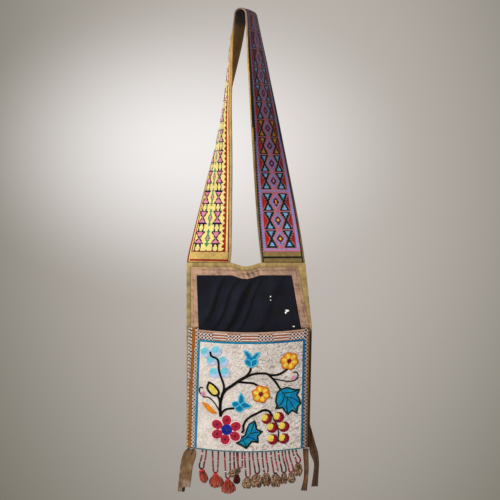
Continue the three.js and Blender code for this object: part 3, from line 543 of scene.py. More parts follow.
def bag_point(x, y, h):
    """Points from places across, away from the viewer and down, spread to one shape."""
    x, y, h = np.broadcast_arrays(x, y, h)
    return np.stack([x, y, z_at(h)], -1)


# Meshes
def numbers(rows, columns):
    """Row and column numbers of a grid, as two arrays."""
    return np.meshgrid(np.arange(rows), np.arange(columns), indexing="ij")


def cells_of(points):
    """How many cells a grid of points has, down and across."""
    return points.shape[0] - 1, points.shape[1] - 1


def quad_grid(rows, columns, closed=False):
    """Faces over a grid of points numbered row by row, its columns closed on themselves if asked."""
    a, b = numbers(rows - 1, columns if closed else columns - 1)
    c = (b + 1) % columns
    return np.stack([a * columns + b, a * columns + c, (a + 1) * columns + c, (a + 1) * columns + b],
                    -1).reshape(-1, 4)


def signed_volume(points, faces):
    """Volume inside closed faces: the sum of the tetrahedra from the origin to each face's fan."""
    total = 0.0
    for face in faces:
        for k in range(1, face.shape[1] - 1):
            total += np.einsum("ij,ij->", points[face[:, 0]],
                               np.cross(points[face[:, k]], points[face[:, k + 1]]))
    return total


def put_piece(name, points, faces, finish, tints, maps):
    """A piece from points and arrays of faces, turned outwards, with a tint a face and its UV maps."""
    points = np.asarray(points, float).reshape(-1, 3)
    if signed_volume(points, faces) < 0:
        faces = [face[:, ::-1] for face in faces]
        maps = {key: [part[:, ::-1] for part in parts] for key, parts in maps.items()}
    corners = np.concatenate([face.ravel() for face in faces]).astype(np.int32)
    sizes = np.concatenate([np.full(len(face), face.shape[1]) for face in faces])
    mesh = bpy.data.meshes.new(name)
    mesh.vertices.add(len(points))
    mesh.vertices.foreach_set("co", points.ravel())
    mesh.loops.add(len(corners))
    mesh.loops.foreach_set("vertex_index", corners)
    mesh.polygons.add(len(sizes))
    mesh.polygons.foreach_set("loop_start", np.concatenate([[0], np.cumsum(sizes)[:-1]]).astype(np.int32))
    mesh.polygons.foreach_set("use_smooth", np.ones(len(sizes), bool))
    mesh.update(calc_edges=True)
    for key, parts in maps.items():
        layer = mesh.uv_layers.new(name=key)
        layer.data.foreach_set("uv", np.concatenate([part.reshape(-1, 2) for part in parts]).ravel())
    tint = mesh.color_attributes.new("Tint", "FLOAT_COLOR", "CORNER")
    rgb = np.concatenate([np.broadcast_to(part, (len(face), 3)) for part, face in zip(tints, faces)])
    rgba = np.hstack([np.repeat(rgb, sizes, axis=0), np.ones((len(corners), 1))])
    tint.data.foreach_set("color", rgba.ravel())
    mesh.materials.append(finish)
    piece = bpy.data.objects.new(name, mesh)
    bpy.context.scene.collection.objects.link(piece)
    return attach(piece, "root")


def front_map(points, faces):
    """A bake map of one view of the points from the front, scaled to fit."""
    flat = points[:, [0, 2]] - points[:, [0, 2]].min(0)
    flat = flat / flat.max()
    return {"OFBake": [flat[face] for face in faces]}


def runs(points):
    """Distances along the middle column and along the middle row of a grid of points."""
    rows, columns = points.shape[:2]
    return run_along(points[:, columns // 2]), run_along(points[rows // 2])


def four_sides(grid):
    """The four border lines of a grid, one after the other around it."""
    return [grid[:, 0], grid[::-1, -1], grid[0, ::-1], grid[-1]]


def rim_cells(tint):
    """The tints of a grid's border cells, in the order of its rim's faces."""
    return np.concatenate(four_sides(tint))


def rim_quads(rows, columns):
    """Faces that close the four sides between two grids of points numbered one after the other."""
    count = rows * columns
    sides = four_sides(np.arange(count).reshape(rows, columns))
    return np.concatenate([np.stack([side[:-1], side[1:], side[1:] + count, side[:-1] + count], -1)
                           for side in sides])


# Shares of a bake map: one face of a sheet, a section's sides and the spot for its caps
SLAB_FACE = 0.48
LOFT_SIDES = 0.98
LOFT_CAPS = 0.99


def slab_piece(name, front, back, finish, tint):
    """A sheet with two faces on the same grid, closed along its four sides. tint has a colour a cell."""
    rows, columns = front.shape[:2]
    top = quad_grid(rows, columns)
    rims = rim_quads(rows, columns)
    faces = [top, top[:, ::-1] + rows * columns, rims]
    down, across = runs(front)
    weave = np.stack(np.meshgrid(down, across, indexing="ij"), -1).reshape(-1, 2)
    weave = np.concatenate([weave, weave])
    share = np.stack(np.meshgrid(np.linspace(0, SLAB_FACE, rows), np.linspace(0, 1, columns), indexing="ij"),
                     -1).reshape(-1, 2)
    share = np.concatenate([share, share + [1 - SLAB_FACE, 0]])
    maps = {"OFBake": [share[top], share[faces[1]], np.full((len(rims), 4, 2), 0.5)],
            "Weave": [weave[face] for face in faces]}
    tint = np.broadcast_to(tint, (rows - 1, columns - 1, 3))
    cells = tint.reshape(-1, 3)
    return put_piece(name, np.concatenate([front.reshape(-1, 3), back.reshape(-1, 3)]), faces, finish,
                     [cells, cells, rim_cells(tint)], maps)


def loft_faces(rows, sides):
    """Faces of a closed section carried along a path, with a flat cap at each end."""
    caps = np.stack([np.arange(sides)[::-1], np.arange(sides) + (rows - 1) * sides])
    return [quad_grid(rows, sides, closed=True), caps]


def loft_piece(name, rings, finish, tint):
    """A piece whose section is carried along a path. tint has a colour for each side of each step."""
    rows, sides = rings.shape[:2]
    faces = loft_faces(rows, sides)
    around = run_along(np.concatenate([rings[rows // 2], rings[rows // 2, :1]]))
    down = runs(rings)[0]
    a, b = numbers(rows - 1, sides)
    ends = [(a, b), (a, b + 1), (a + 1, b + 1), (a + 1, b)]
    weave = np.stack([np.stack([down[i], around[j]], -1) for i, j in ends], 2).reshape(-1, 4, 2)
    share = np.stack([np.stack([j / sides, i * LOFT_SIDES / rows], -1) for i, j in ends], 2).reshape(-1, 4, 2)
    caps = np.full((2, sides, 2), LOFT_CAPS)
    tint = np.broadcast_to(tint, (rows - 1, sides, 3))
    return put_piece(name, rings, faces, finish, [tint.reshape(-1, 3), tint[[0, -1], 0]],
                     {"OFBake": [share, caps], "Weave": [weave, caps * MM]})


# Where a bead's flat top begins and ends across it, and how high the groove beside it stands
BEAD_TOP = np.array([0.22, 0.78])
BEAD_GROOVE = 0.62
# Shares of a bake map: a panel's front, its rear with where that starts, and the spot for its rim
PANEL_FRONT = 0.97
PANEL_REAR = 0.02
REAR_START = 0.975
PANEL_RIM = 0.999


def bead_panel(name, place, tint, depth, finish, raised=0.0):
    """A closed sheet of beads: each is a square with a smaller flat top, so that grooves run between them.

    place gives a point from a share across, a share along and a height, and tint a colour a bead.
    """
    nu, nv = tint.shape[:2]
    height = depth + np.broadcast_to(raised, (nu, nv))
    groove = BEAD_GROOVE * np.pad(height, ((0, 1), (0, 1)), mode="edge")
    groove_at = np.arange(nu + 1)[:, None] / nu, np.arange(nv + 1)[None] / nv
    top_at = ((np.arange(nu)[:, None] + BEAD_TOP).reshape(-1, 1) / nu,
              (np.arange(nv)[:, None] + BEAD_TOP).reshape(1, -1) / nv)
    grids = [place(*groove_at, groove), place(*groove_at, np.zeros_like(groove)),
             place(*top_at, np.repeat(np.repeat(height, 2, 0), 2, 1))]
    base = np.arange(groove.size).reshape(groove.shape)
    crest = np.arange(4 * nu * nv).reshape(2 * nu, 2 * nv) + 2 * groove.size
    base = [base[:-1, :-1], base[:-1, 1:], base[1:, 1:], base[1:, :-1]]
    crest = [crest[::2, ::2], crest[::2, 1::2], crest[1::2, 1::2], crest[1::2, ::2]]
    tops = np.stack(crest, -1).reshape(-1, 4)
    slopes = np.concatenate([np.stack([base[k - 1], base[k], crest[k], crest[k - 1]], -1).reshape(-1, 4)
                             for k in range(4)])
    rear = quad_grid(nu + 1, nv + 1)[:, ::-1] + groove.size
    rims = rim_quads(nu + 1, nv + 1)
    spots = [(groove_at[0], PANEL_FRONT * groove_at[1]),
             (groove_at[0], REAR_START + PANEL_REAR * groove_at[1]),
             (top_at[0], PANEL_FRONT * top_at[1])]
    share = np.concatenate([np.stack(np.broadcast_arrays(*spot), -1).reshape(-1, 2) for spot in spots])
    maps = {"OFBake": [share[tops], share[slopes], share[rear], np.full((len(rims), 4, 2), PANEL_RIM)]}
    cells = tint.reshape(-1, 3)
    points = np.concatenate([grid.reshape(-1, 3) for grid in grids])
    return put_piece(name, points, [tops, slopes, rear, rims], finish,
                     [cells, np.tile(cells, (4, 1)), cells, rim_cells(tint)], maps)


# Sides of a threaded bead, and its girth at the ends as a share of that in the middle
BEAD_SIDES = 6
BEAD_WAIST = 0.7


class BeadRows:
    """Rows of threaded beads gathered into one piece."""

    def __init__(self):
        """No beads yet."""
        self.points, self.sides, self.caps, self.tints, self.cap_tints = [], [], [], [], []
        self.count = 0

    def add(self, stations, normals, tint, width, height):
        """A tube of ellipses along the stations: full at each bead's middle, drawn in between two beads."""
        forward = unit(np.gradient(stations, axis=0))
        side = unit(np.cross(forward, normals))
        up = np.cross(side, forward)
        turn = np.arange(BEAD_SIDES) * 2 * np.pi / BEAD_SIDES
        size = np.where(np.arange(len(stations)) % 2, 1.0, BEAD_WAIST)[:, None, None]
        ring = (side[:, None] * np.cos(turn)[:, None] * width
                + up[:, None] * np.sin(turn)[:, None] * height) / 2
        quads, caps = loft_faces(len(stations), BEAD_SIDES)
        self.points.append((stations[:, None] + ring * size).reshape(-1, 3))
        self.sides.append(quads + self.count)
        self.caps.append(caps + self.count)
        self.tints.append(np.repeat(tint, 2 * BEAD_SIDES, axis=0))
        self.cap_tints.append(tint[[0, -1]])
        self.count += len(self.points[-1])

    def piece(self, name, finish):
        """All rows as one piece, its own map a view of it from the front."""
        points = np.concatenate(self.points)
        faces = [np.concatenate(self.sides), np.concatenate(self.caps)]
        tints = [np.concatenate(self.tints), np.concatenate(self.cap_tints)]
        return put_piece(name, points, faces, finish, tints, front_map(points, faces))


# Finishes
def feed(tree, made, inputs):
    """Sets a node's inputs, each to a value or to the output that feeds it."""
    for key, value in inputs.items():
        if isinstance(value, bpy.types.NodeSocket):
            tree.links.new(value, made.inputs[key])
        else:
            made.inputs[key].default_value = value


def node(tree, kind, output, inputs=None, **settings):
    """An output of a new node that has the given settings and inputs."""
    made = tree.nodes.new(kind)
    for key, value in settings.items():
        setattr(made, key, value)
    feed(tree, made, inputs or {})
    return made.outputs[output]


def new_finish(name):
    """A new material, its node tree and its shader."""
    made = bpy.data.materials.new(name)
    made.use_nodes = True
    return made, made.node_tree, made.node_tree.nodes["Principled BSDF"]


def object_noise(tree, scale, detail):
    """Noise over the piece's own coordinates."""
    place = node(tree, "ShaderNodeTexCoord", "Object")
    return node(tree, "ShaderNodeTexNoise", "Fac",
                {"Vector": place, "Scale": scale, "Detail": detail, "Roughness": 0.6})


def ranged(tree, factor, least, most):
    """A factor stretched to run from least to most."""
    return node(tree, "ShaderNodeMapRange", "Result", {"Value": factor, "To Min": least, "To Max": most})


def relief(tree, height, strength, depth):
    """Relief of the surface by a height."""
    return node(tree, "ShaderNodeBump", "Normal", {"Height": height, "Strength": strength, "Distance": depth})


# Factors at which a tint is darkest and lightest
TINT_RANGE = (0.3, 0.7)


def tinted(tree, factor, darkest, lightest):
    """The piece's tint times a shade that runs from darkest to lightest with a factor."""
    tint = node(tree, "ShaderNodeAttribute", "Color", attribute_name="Tint")
    ramp = tree.nodes.new("ShaderNodeValToRGB")
    for end, place, shade in zip(ramp.color_ramp.elements, TINT_RANGE, (darkest, lightest)):
        end.position = place
        end.color = (*shade, 1)
    feed(tree, ramp, {"Fac": factor})
    return node(tree, "ShaderNodeMix", "Result", {"Factor": 1.0, "A": tint, "B": ramp.outputs["Color"]},
                data_type="RGBA", blend_type="MULTIPLY")


def bead_finish(name, rough):
    """Opaque glass beads: the tint of each bead, slightly uneven gloss and fine dust."""
    made, tree, shader = new_finish(name)
    dust = object_noise(tree, 60, 3)
    feed(tree, shader, {"Specular IOR Level": 0.08,
                        "Roughness": ranged(tree, dust, rough - 0.1, rough + 0.15),
                        "Base Color": tinted(tree, dust, (0.86, 0.84, 0.82), (1, 1, 1))})
    return made


# Length of one band of a wave texture of scale 1
WAVE_BAND = 2 * np.pi / 20


def cloth_finish(name, pitch, depth, rough, sheen, darkest, lightest, grain):
    """Woven cloth: crossing threads as relief on the piece's weave map, wear as soft noise over its tint."""
    made, tree, shader = new_finish(name)
    weave = node(tree, "ShaderNodeUVMap", "UV", uv_map="Weave")
    scale = WAVE_BAND / (bpy.context.scene.bag_sizes.thread * pitch)
    bands = {"Vector": weave, "Scale": scale, "Distortion": 0.8, "Detail": 1.0, "Detail Scale": 0.6}
    threads = [node(tree, "ShaderNodeTexWave", "Fac", bands, bands_direction=way) for way in ("X", "Y")]
    higher = node(tree, "ShaderNodeMath", "Value", dict(enumerate(threads)), operation="MAXIMUM")
    wear = object_noise(tree, grain, 5)
    feed(tree, shader, {"Sheen Weight": sheen, "Sheen Roughness": 0.5, "Specular IOR Level": 0.2,
                        "Normal": relief(tree, higher, 0.6, depth),
                        "Roughness": ranged(tree, wear, rough - 0.12, rough + 0.08),
                        "Base Color": tinted(tree, wear, darkest, lightest)})
    return made


def yarn_finish(name):
    """Wool yarn: fuzzy relief, a soft sheen and tips that have faded unevenly."""
    made, tree, shader = new_finish(name)
    fuzz = object_noise(tree, 900, 4)
    fade = object_noise(tree, 120, 3)
    feed(tree, shader, {"Sheen Weight": 0.08, "Sheen Roughness": 0.6, "Specular IOR Level": 0.15,
                        "Normal": relief(tree, fuzz, 0.7, 0.8 * MM),
                        "Roughness": ranged(tree, fuzz, 0.8, 1.0),
                        "Base Color": tinted(tree, fade, (0.7, 0.68, 0.66), (1.1, 1.08, 1.05))})
    return made


BEAD_ROUGHNESS = {"glass_beads": 0.34, "string_beads": 0.4}
# Rows: spacing in threads, depth of the weave, roughness, sheen, darkest and lightest wear, its grain
CLOTHS = {
    "cotton": (1, 0.3 * MM, 0.86, 0.1, (0.72, 0.68, 0.62), (1.08, 1.06, 1.02), 26),
    "tape": (1.2, 0.4 * MM, 0.8, 0.15, (0.7, 0.66, 0.58), (1.1, 1.08, 1.02), 40),
    "ribbon": (0.8, 0.2 * MM, 0.62, 0.2, (0.7, 0.66, 0.6), (1.08, 1.05, 1), 30),
    "wool_cloth": (1.3, 0.4 * MM, 0.92, 0.05, (0.75, 0.75, 0.78), (1.2, 1.22, 1.3), 22),
}


def finish(name):
    """A finish by name, made on its first use."""
    if name in bpy.data.materials:
        return bpy.data.materials[name]
    if name in CLOTHS:
        return cloth_finish(name, *CLOTHS[name])
    return bead_finish(name, BEAD_ROUGHNESS[name]) if name in BEAD_ROUGHNESS else yarn_finish(name)


# Fringe. Rows: two places along the hem, the bend's place, its drop, how far it stands forward,
# then the tassel's length, width, lean in degrees and yarn.
FRINGE = [
    (-104, -95, -106, 44, -3, 32, 18, 16, "red"),
    (-80, -66, -73, 51, -2, 33, 33, 8, "red"),
    (-51, -38, -43, 62, -6, 34, 33, 4, "red"),
    (-29, -22, -22, 53, 16, 22, 15, 0, "dark"),
    (-19, -9, -14, 36, -18, 30, 15, -58, "tan"),
    (-3, 8, 5, 59, -2, 25, 21, -10, "tan"),
    (16, 27, 27, 50, -4, 31, 26, -4, "tan"),
    (39, 48, 48, 49, 4, 30, 20, 2, "tan"),
    (60, 69, 71, 51, -4, 31, 22, 0, "tan"),
    (78, 87, 91, 51, 2, 25, 14, 0, "tan"),
    (94, 103, 108, 51, -2, 24, 15, 2, "tan"),
    (112, 120, 125, 31, -2, 29, 18, -3, "tan"),
]
STRING_POINTS = 33
STRING_STEPS = 10
# Share of the length, then shares of the knot's and the tassel's width that make the radius there
SKIRT = [[0, 0.2, 0], [0.08, 0.75, 0], [0.25, 0.68, 0], [0.5, 0, 0.43], [0.8, 0, 0.5], [1, 0, 0.45]]
BALL = [[0, 0.3, 0], [0.1, 0.75, 0], [0.28, 0, 0.38], [0.55, 0, 0.48], [0.82, 0, 0.47], [1, 0, 0.3]]
TASSEL_DEPTH = 0.75
# A tassel's knob and how far it sinks where the tassel leans, then its strands, core and locks of yarn
KNOB_R = 9 * MM
KNOB_SINK = 0.12
STRANDS = 80
STRANDS_A_METRE = 6500
STRAND_STEPS = 9
STRAND_SIDES = 4
CORE_STEPS = 10
CORE_SIDES = 12
CORE_SHARE = 0.6
LOCK_W = 2.6 * MM


def string_route(xa, xb, xm, drop, forward):
    """A loop from two places on the hem down to a round bend, as points along a smooth line."""
    start = [z_at(hem_h(x)) - CLEAR for x in (xa, xb)]
    bend = min(start) - drop

    def y(f):
        """Depth at a share of the way down: the hem's, then smoothly forward."""
        return HEM_Y + forward * smooth(f, 0, 1)

    points = [(xa, y(0), start[0]), (lerp(xa, xm - LOOP_R, 0.2), y(0.2), lerp(start[0], bend, 0.3)),
              (xm - LOOP_R, y(0.9), bend + 1.7 * LOOP_R), (xm - 0.86 * LOOP_R, y(1), bend + 0.5 * LOOP_R),
              (xm, y(1), bend),
              (xm + 0.86 * LOOP_R, y(1), bend + 0.5 * LOOP_R), (xm + LOOP_R, y(0.9), bend + 1.7 * LOOP_R),
              (lerp(xb, xm + LOOP_R, 0.2), y(0.2), lerp(start[1], bend, 0.3)), (xb, y(0), start[1])]
    return catmull(points, 241)


def string_piece(name, route, seed):
    """A string of small beads along its route, dusty red with pale and dark beads."""
    rng = np.random.default_rng(seed)
    sizes = bpy.context.scene.bag_sizes
    count = round(line_length(route) / sizes.string_bead)
    stations = spaced(route, 2 * count + 1)
    tint = varied(tone("string_red"), (count,), 0.14, seed)
    share = np.abs(np.linspace(-1, 1, count))
    tint[rng.random(count) < 0.14] = tone("string_pale")
    tint[rng.random(count) < 0.22] = tone("string_dark")
    tint[rng.random(count) < 0.02] = tone("white")
    if seed % 3 == 0:
        tint[(share < 0.55) & (rng.random(count) < 0.75)] = tone("string_dark")
    # The beads at both ends, where the string meets the hem, are dark: dark knots with painted shadow under
    # the hem.
    tint[share > 0.93] = tone("string_dark")
    rows = BeadRows()
    forward = np.broadcast_to([0.0, -1.0, 0.0], stations.shape)
    rows.add(stations, forward, tint, sizes.string_width, sizes.string_width)
    return rows.piece(name, finish("string_beads"))


def tassel_piece(name, top, size, width, lean, yarn, seed):
    """A bunch of yarn ends around a core: strands follow the tassel's outline and fray towards their tips."""
    rng = np.random.default_rng(seed)
    axis = np.array([np.sin(lean), 0, -np.cos(lean)])
    across = np.array([np.cos(lean), 0, np.sin(lean)])
    depth = np.array([0, TASSEL_DEPTH, 0])
    knob = min(width / 2, KNOB_R)
    wound = yarn == "tan"
    form = [[f, knob * a + width * b] for f, a, b in (BALL if wound else SKIRT)]
    thick = bpy.context.scene.bag_sizes.yarn * (1.3 if wound else 1)
    strands = int(STRANDS + STRANDS_A_METRE * width)
    steps, sides = STRAND_STEPS, STRAND_SIDES
    f = np.linspace(0.03, 1, steps)
    turn = rng.uniform(0, 2 * np.pi, (strands, 1))
    deep = 0.62 + 0.36 * np.sqrt(rng.random((strands, 1)))
    reach = rng.uniform(0.7 if wound else 0.8, 1.08, (strands, 1)) * (1 - 0.16 * np.cos(turn) ** 2)
    sway = np.cumsum(rng.normal(0, 0.05, (strands, steps)), 1) * f
    fray = thick * np.cumsum(rng.normal(0, 0.16, (strands, steps)), 1) * f
    radius = along(form, f) * deep + fray
    twist = rng.choice([-1, 1], (strands, 1)) * (1.1 if wound else 0.15)
    angle = turn + sway + twist * f
    outward = across * np.cos(angle)[..., None] + depth * np.sin(angle)[..., None]
    centre = top + axis * (f * reach * size)[..., None] + outward * radius[..., None]
    forward = unit(np.gradient(centre, axis=1))
    side = unit(np.cross(forward, unit(outward)))
    up = np.cross(side, forward)
    corner = (np.arange(sides) + 0.5) * 2 * np.pi / sides
    girth = thick / 2 * np.where(f < 0.2, 0.8, 1.0) * np.where(f == 1, 0.6, 1.0)
    ring = (side[:, :, None] * np.cos(corner)[:, None] + up[:, :, None] * np.sin(corner)[:, None])
    points = (centre[:, :, None] + ring * girth[:, None, None]).reshape(-1, 3)
    quads, caps = loft_faces(steps, sides)
    shift = (np.arange(strands) * steps * sides)[:, None, None]
    quads, caps = (quads + shift).reshape(-1, 4), (caps + shift).reshape(-1, sides)

    g = np.linspace(0, 0.9, CORE_STEPS)
    spin = np.arange(CORE_SIDES) * 2 * np.pi / CORE_SIDES
    core_r = along(form, g) * CORE_SHARE
    core = top + (axis * (g * size)[:, None])[:, None] + core_r[:, None, None] * (
        across * np.cos(spin)[:, None] + depth * np.sin(spin)[:, None])
    core_quads, core_caps = loft_faces(CORE_STEPS, CORE_SIDES)
    offset = len(points)
    faces = [quads, caps, core_quads[:, ::-1] + offset, core_caps[:, ::-1] + offset]

    base = tone("yarn_" + yarn)
    faded = 0.75 + 0.45 * np.linspace(0, 1, steps - 1) ** 2
    fleck = 0.8 if wound else 0.3
    locks = 1 + (0 if wound else 0.6) * np.sin(round(width / LOCK_W) * turn + 2 * np.sin(3 * turn))
    light = locks * rng.normal(1, 0.42, (strands, 1)) * rng.normal(1, fleck, (strands, steps - 1)) * faded
    tint = np.clip(base * np.clip(light, 0.12, 2.2)[..., None], 0, 1)
    tint = np.broadcast_to(tint[:, :, None], (strands, steps - 1, sides, 3))
    if yarn == "red":
        tint = lerp(tint, tone("yarn_faded"), 0.4 * (f[:-1] ** 2)[:, None, None])
        tint = np.where((f[:-1] < 0.14)[:, None, None], tone("knot"), tint)
    # The core is painted dark, at three tenths of the yarn's colour, as shade between the strands.
    tints = [tint.reshape(-1, 3), np.repeat(tint[:, -1, 0], 2, axis=0), base * 0.3, base * 0.3]
    points = np.concatenate([points, core.reshape(-1, 3)])
    return put_piece(name, points, faces, finish("yarn"), tints, front_map(points, faces))


class BAG_OT_camera(bpy.types.Operator):
    """Places the camera level with the middle of the bag, in front of it."""

    bl_idname = "bag.camera"
    bl_label = "Camera"

    def execute(self, context):
        data = bpy.data.cameras.new("camera")
        data.sensor_width = SENSOR_W
        data.lens = SENSOR_W * CAMERA_REACH / PICTURE_W
        data.clip_end = 100
        camera = bpy.data.objects.new("camera", data)
        camera.location = (PICTURE_MID[0], -CAMERA_REACH, PICTURE_MID[1])
        camera.rotation_euler = (np.pi / 2, 0, 0)
        context.scene.collection.objects.link(camera)
        context.scene.camera = camera
        return {"FINISHED"}


class BAG_OT_fringe(bpy.types.Operator):
    """Hangs the strings of beads from the hem, each with its tassel."""

    bl_idname = "bag.fringe"
    bl_label = "Fringe"

    def execute(self, context):
        for k, (xa, xb, xm, drop, forward, size, width, lean, yarn) in enumerate(FRINGE):
            number = f"{k + 1:02d}"
            route = string_route(xa * MM, xb * MM, xm * MM, drop * MM, forward * MM)
            string = string_piece("beads_" + number, route, k)
            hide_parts("string_" + number)
            marks = spaced(route, STRING_STEPS + 1)
            lowest = marks[marks[:, 2].argmin()]
            tilt = np.radians(lean)
            sink = KNOB_SINK * min(width * MM / 2, KNOB_R) * abs(np.sin(tilt))
            top = lowest - [0, 0, STRING_D / 2 + CLEAR + sink]
            tassel = tassel_piece("yarn_" + number, top, size * MM, width * MM, tilt, yarn, 100 + k)
            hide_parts("tassel_" + number)
            path = spaced(route, STRING_POINTS)
            line_length(path)
        return {"FINISHED"}


# Strap cloth
def edge_tape(name, side):
    """A tape folded over one edge of the strap: a rounded L section carried along the strap.

    It is darker along parts of the right half, and over the crown the outer tape is painted dark as shade.
    """
    run = np.linspace(SEAM * LEG, STRAP_RUN - SEAM * LEG, 260)
    s = strap_place(run)
    edge, top, bend = CLEAR + EDGE_WRAP_T, CLEAR + EDGE_FLANGE_T, 0.7 * MM
    section = np.array([
        (edge, -LINING_T), (edge, top - bend), (edge - 0.3 * bend, top - 0.3 * bend), (edge - bend, top),
        (-EDGE_FLANGE_W / 2, top + 0.15 * MM), (-EDGE_FLANGE_W + bend, top), (-EDGE_FLANGE_W, top - bend),
        (-EDGE_FLANGE_W, CLEAR), (CLEAR, CLEAR), (CLEAR, -LINING_T)])
    pucker = 0.12 * MM * np.sin(run / (7 * MM) * 2 * np.pi)[:, None] * (section[:, 1] > CLEAR)
    rings = strap_point(s[:, None], side * (STRAP_W / 2 + section[:, 0]), section[:, 1] + pucker)
    if side > 0:
        rings = rings[::-1]
        s = s[::-1]
    at = s[:-1]
    right = (at > 1.5)[:, None]
    part = np.arange(len(section))[None]
    dark_from = np.where(at < 2.45, 3, 4)[:, None]
    pick = np.full((len(at), len(section)), "gold" if side < 0 else "olive", dtype="<U12")
    pick[right & (part >= dark_from) & (part <= 6)] = "black"
    if side < 0:
        stitch = (np.arange(len(at)) % 2 == 0)[:, None]
        sewn = ~right & (part >= 5) & (part <= 6)
        pick[sewn & stitch] = "brick"
        pick[sewn & ~stitch] = "black"
    else:
        pick[~right & (part >= 4) & (part <= 6)] = "yellow"
        pick[~right & (part >= 1) & (part <= 3)] = "brick"
    tint = painted(pick, 0.05, 6)
    tint = tint * (1 + 0.1 * mottle(run[:-1], 0, 30 * MM, 7))[:, None, None]
    # Over the crown the outer tape is painted nearly black as shade; the inner tape takes the mauve there.
    crown = smooth(at, 0.88, 0.97) * (1 - smooth(at, 2.03, 2.12))
    if side > 0:
        tint = tint * lerp(1, np.array([0.14, 0.11, 0.09]), crown[:, None])[:, None]
        dim = smooth(at, 2, 2.1) * (1 - 0.35 * smooth(at, 2.6, 2.95))
    else:
        golden = smooth(at, 0.3, 0.6) * (1 - smooth(at, 2.5, 2.8))
        tint = tint * lerp(1, np.array([1.2, 1.02, 0.55]), golden[:, None])[:, None]
        pale = lerp(0.4, 0.8, smooth(at, 1.3, 1.8))
        tint = lerp(tint, tone("mauve") * pale[:, None, None], crown[:, None, None])
        dim = 0.7 * smooth(at, 2.4, 2.65)
    tint = tint * (1 - 0.75 * dim)[:, None, None]
    piece = loft_piece("tape_" + name, rings, finish("tape"), np.clip(tint, 0, 1))
    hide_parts(name)
    return piece


# Half the width of a tab's line of stitching
STITCH_HALF = 2.2 * MM


def strap_tab(name, s0, s1, cloth, line, line_colour, seed):
    """Plain cloth below a strap panel with one line of stitching across it."""
    s = np.linspace(s0, s1, 27)
    w = np.linspace(-BEAD_HALF, BEAD_HALF, 48)
    share = np.abs(s - (0 if s1 < 1.5 else 3)) * LEG
    ripple = 0.25 * MM * mottle(w[None], share[:, None], 16 * MM, seed)
    front = strap_point(s[:, None], w[None], CLEAR + TAB_T + np.clip(ripple, -0.4 * MM, 0.4 * MM))
    back = strap_point(s[:, None], w[None], np.full(front.shape[:2], CLEAR))
    middle = (share[:-1] + share[1:]) / 2
    tint = varied(tone(cloth), cells_of(front), 0.08, seed)
    patchy = mottle(w[None, :-1], middle[:, None], 14 * MM, seed + 2)
    tint = tint * (1 + 0.1 * patchy)[..., None]
    tint = tint * (1.12 - 0.1 * smooth(middle, 0, TAB_H))[:, None, None]
    stitched = np.abs(middle - line) < STITCH_HALF
    tint = tint * np.where(middle < line, 0.8, 1)[:, None, None]
    tint = np.where(stitched[:, None, None], tone(line_colour), tint)
    piece = slab_piece("cloth_" + name, front, back, finish("cotton"), np.clip(tint, 0, 1))
    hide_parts(name)


class BAG_OT_strap_cloth(bpy.types.Operator):
    """Makes the strap's lining, its edge tapes and the tabs below its panels."""

    bl_idname = "bag.strap_cloth"
    bl_label = "Strap cloth"

    def execute(self, context):
        run = np.linspace(-STRAP_LAP, STRAP_RUN + STRAP_LAP, 240)
        s = strap_place(run)
        w = np.linspace(-STRAP_W / 2, STRAP_W / 2, 17)
        wave = 0.3 * MM * mottle(w[None], run[:, None], 60 * MM, 11)
        front = strap_point(s[:, None], w[None], np.zeros((len(s), len(w))))
        back = strap_point(s[:, None], w[None], -LINING_T + np.clip(wave, -0.5 * MM, 0.5 * MM))
        at = s[:-1]
        tint = varied(tone("lining"), cells_of(front), 0.04, 12)
        crown = smooth(at, 0.94, 0.985) * (1 - smooth(at, 2.0, 2.06))
        near = 1 - smooth(w[:-1], -STRAP_W / 2, 0.1 * STRAP_W)
        gold = smooth(at, 0.55, 0.75)[:, None] * near * (1 - crown)[:, None]
        # Painted shade: the lining darkens towards the crown and is painted nearly black inside it.
        tint = tint * lerp(lerp(1, 0.85, smooth(at, 0.6, 0.95)), 0.06, crown)[:, None, None]
        tint = np.clip(tint * lerp(1, np.array([1.9, 1.75, 1.2]), gold[..., None]), 0, 1)
        lining = slab_piece("strap_cloth", front, back, finish("cotton"), tint)
        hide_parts("strap_lining")
        edge_tape("strap_inner_edge", -1)
        edge_tape("strap_outer_edge", 1)
        strap_tab("left_strap_tab", SEAM, TAB - CLEAR / LEG, "tab_gold", 6 * MM, "brick", 21)
        strap_tab("right_strap_tab", 3 - TAB + CLEAR / LEG, 3 - SEAM, "tab_olive", 13 * MM, "black", 22)
        return {"FINISHED"}


# Strap beadwork
# The left panel's columns are counted on a row of PATTERN_BEADS beads
PATTERN_BEADS = 39
HOURGLASS_PITCH = 49 * MM
HOURGLASS_FIRST = 32 * MM
LEFT_COLUMNS = (5, 24)
CHAIN_COLUMN = 14.5
LOWER_PITCH = 44.3 * MM
UPPER_PITCH = 42 * MM
LOWER_COUNT = 3
BAR_H = 7.5 * MM
FOOT_H = 9 * MM
FIGURE_RISE = 0.8 * MM


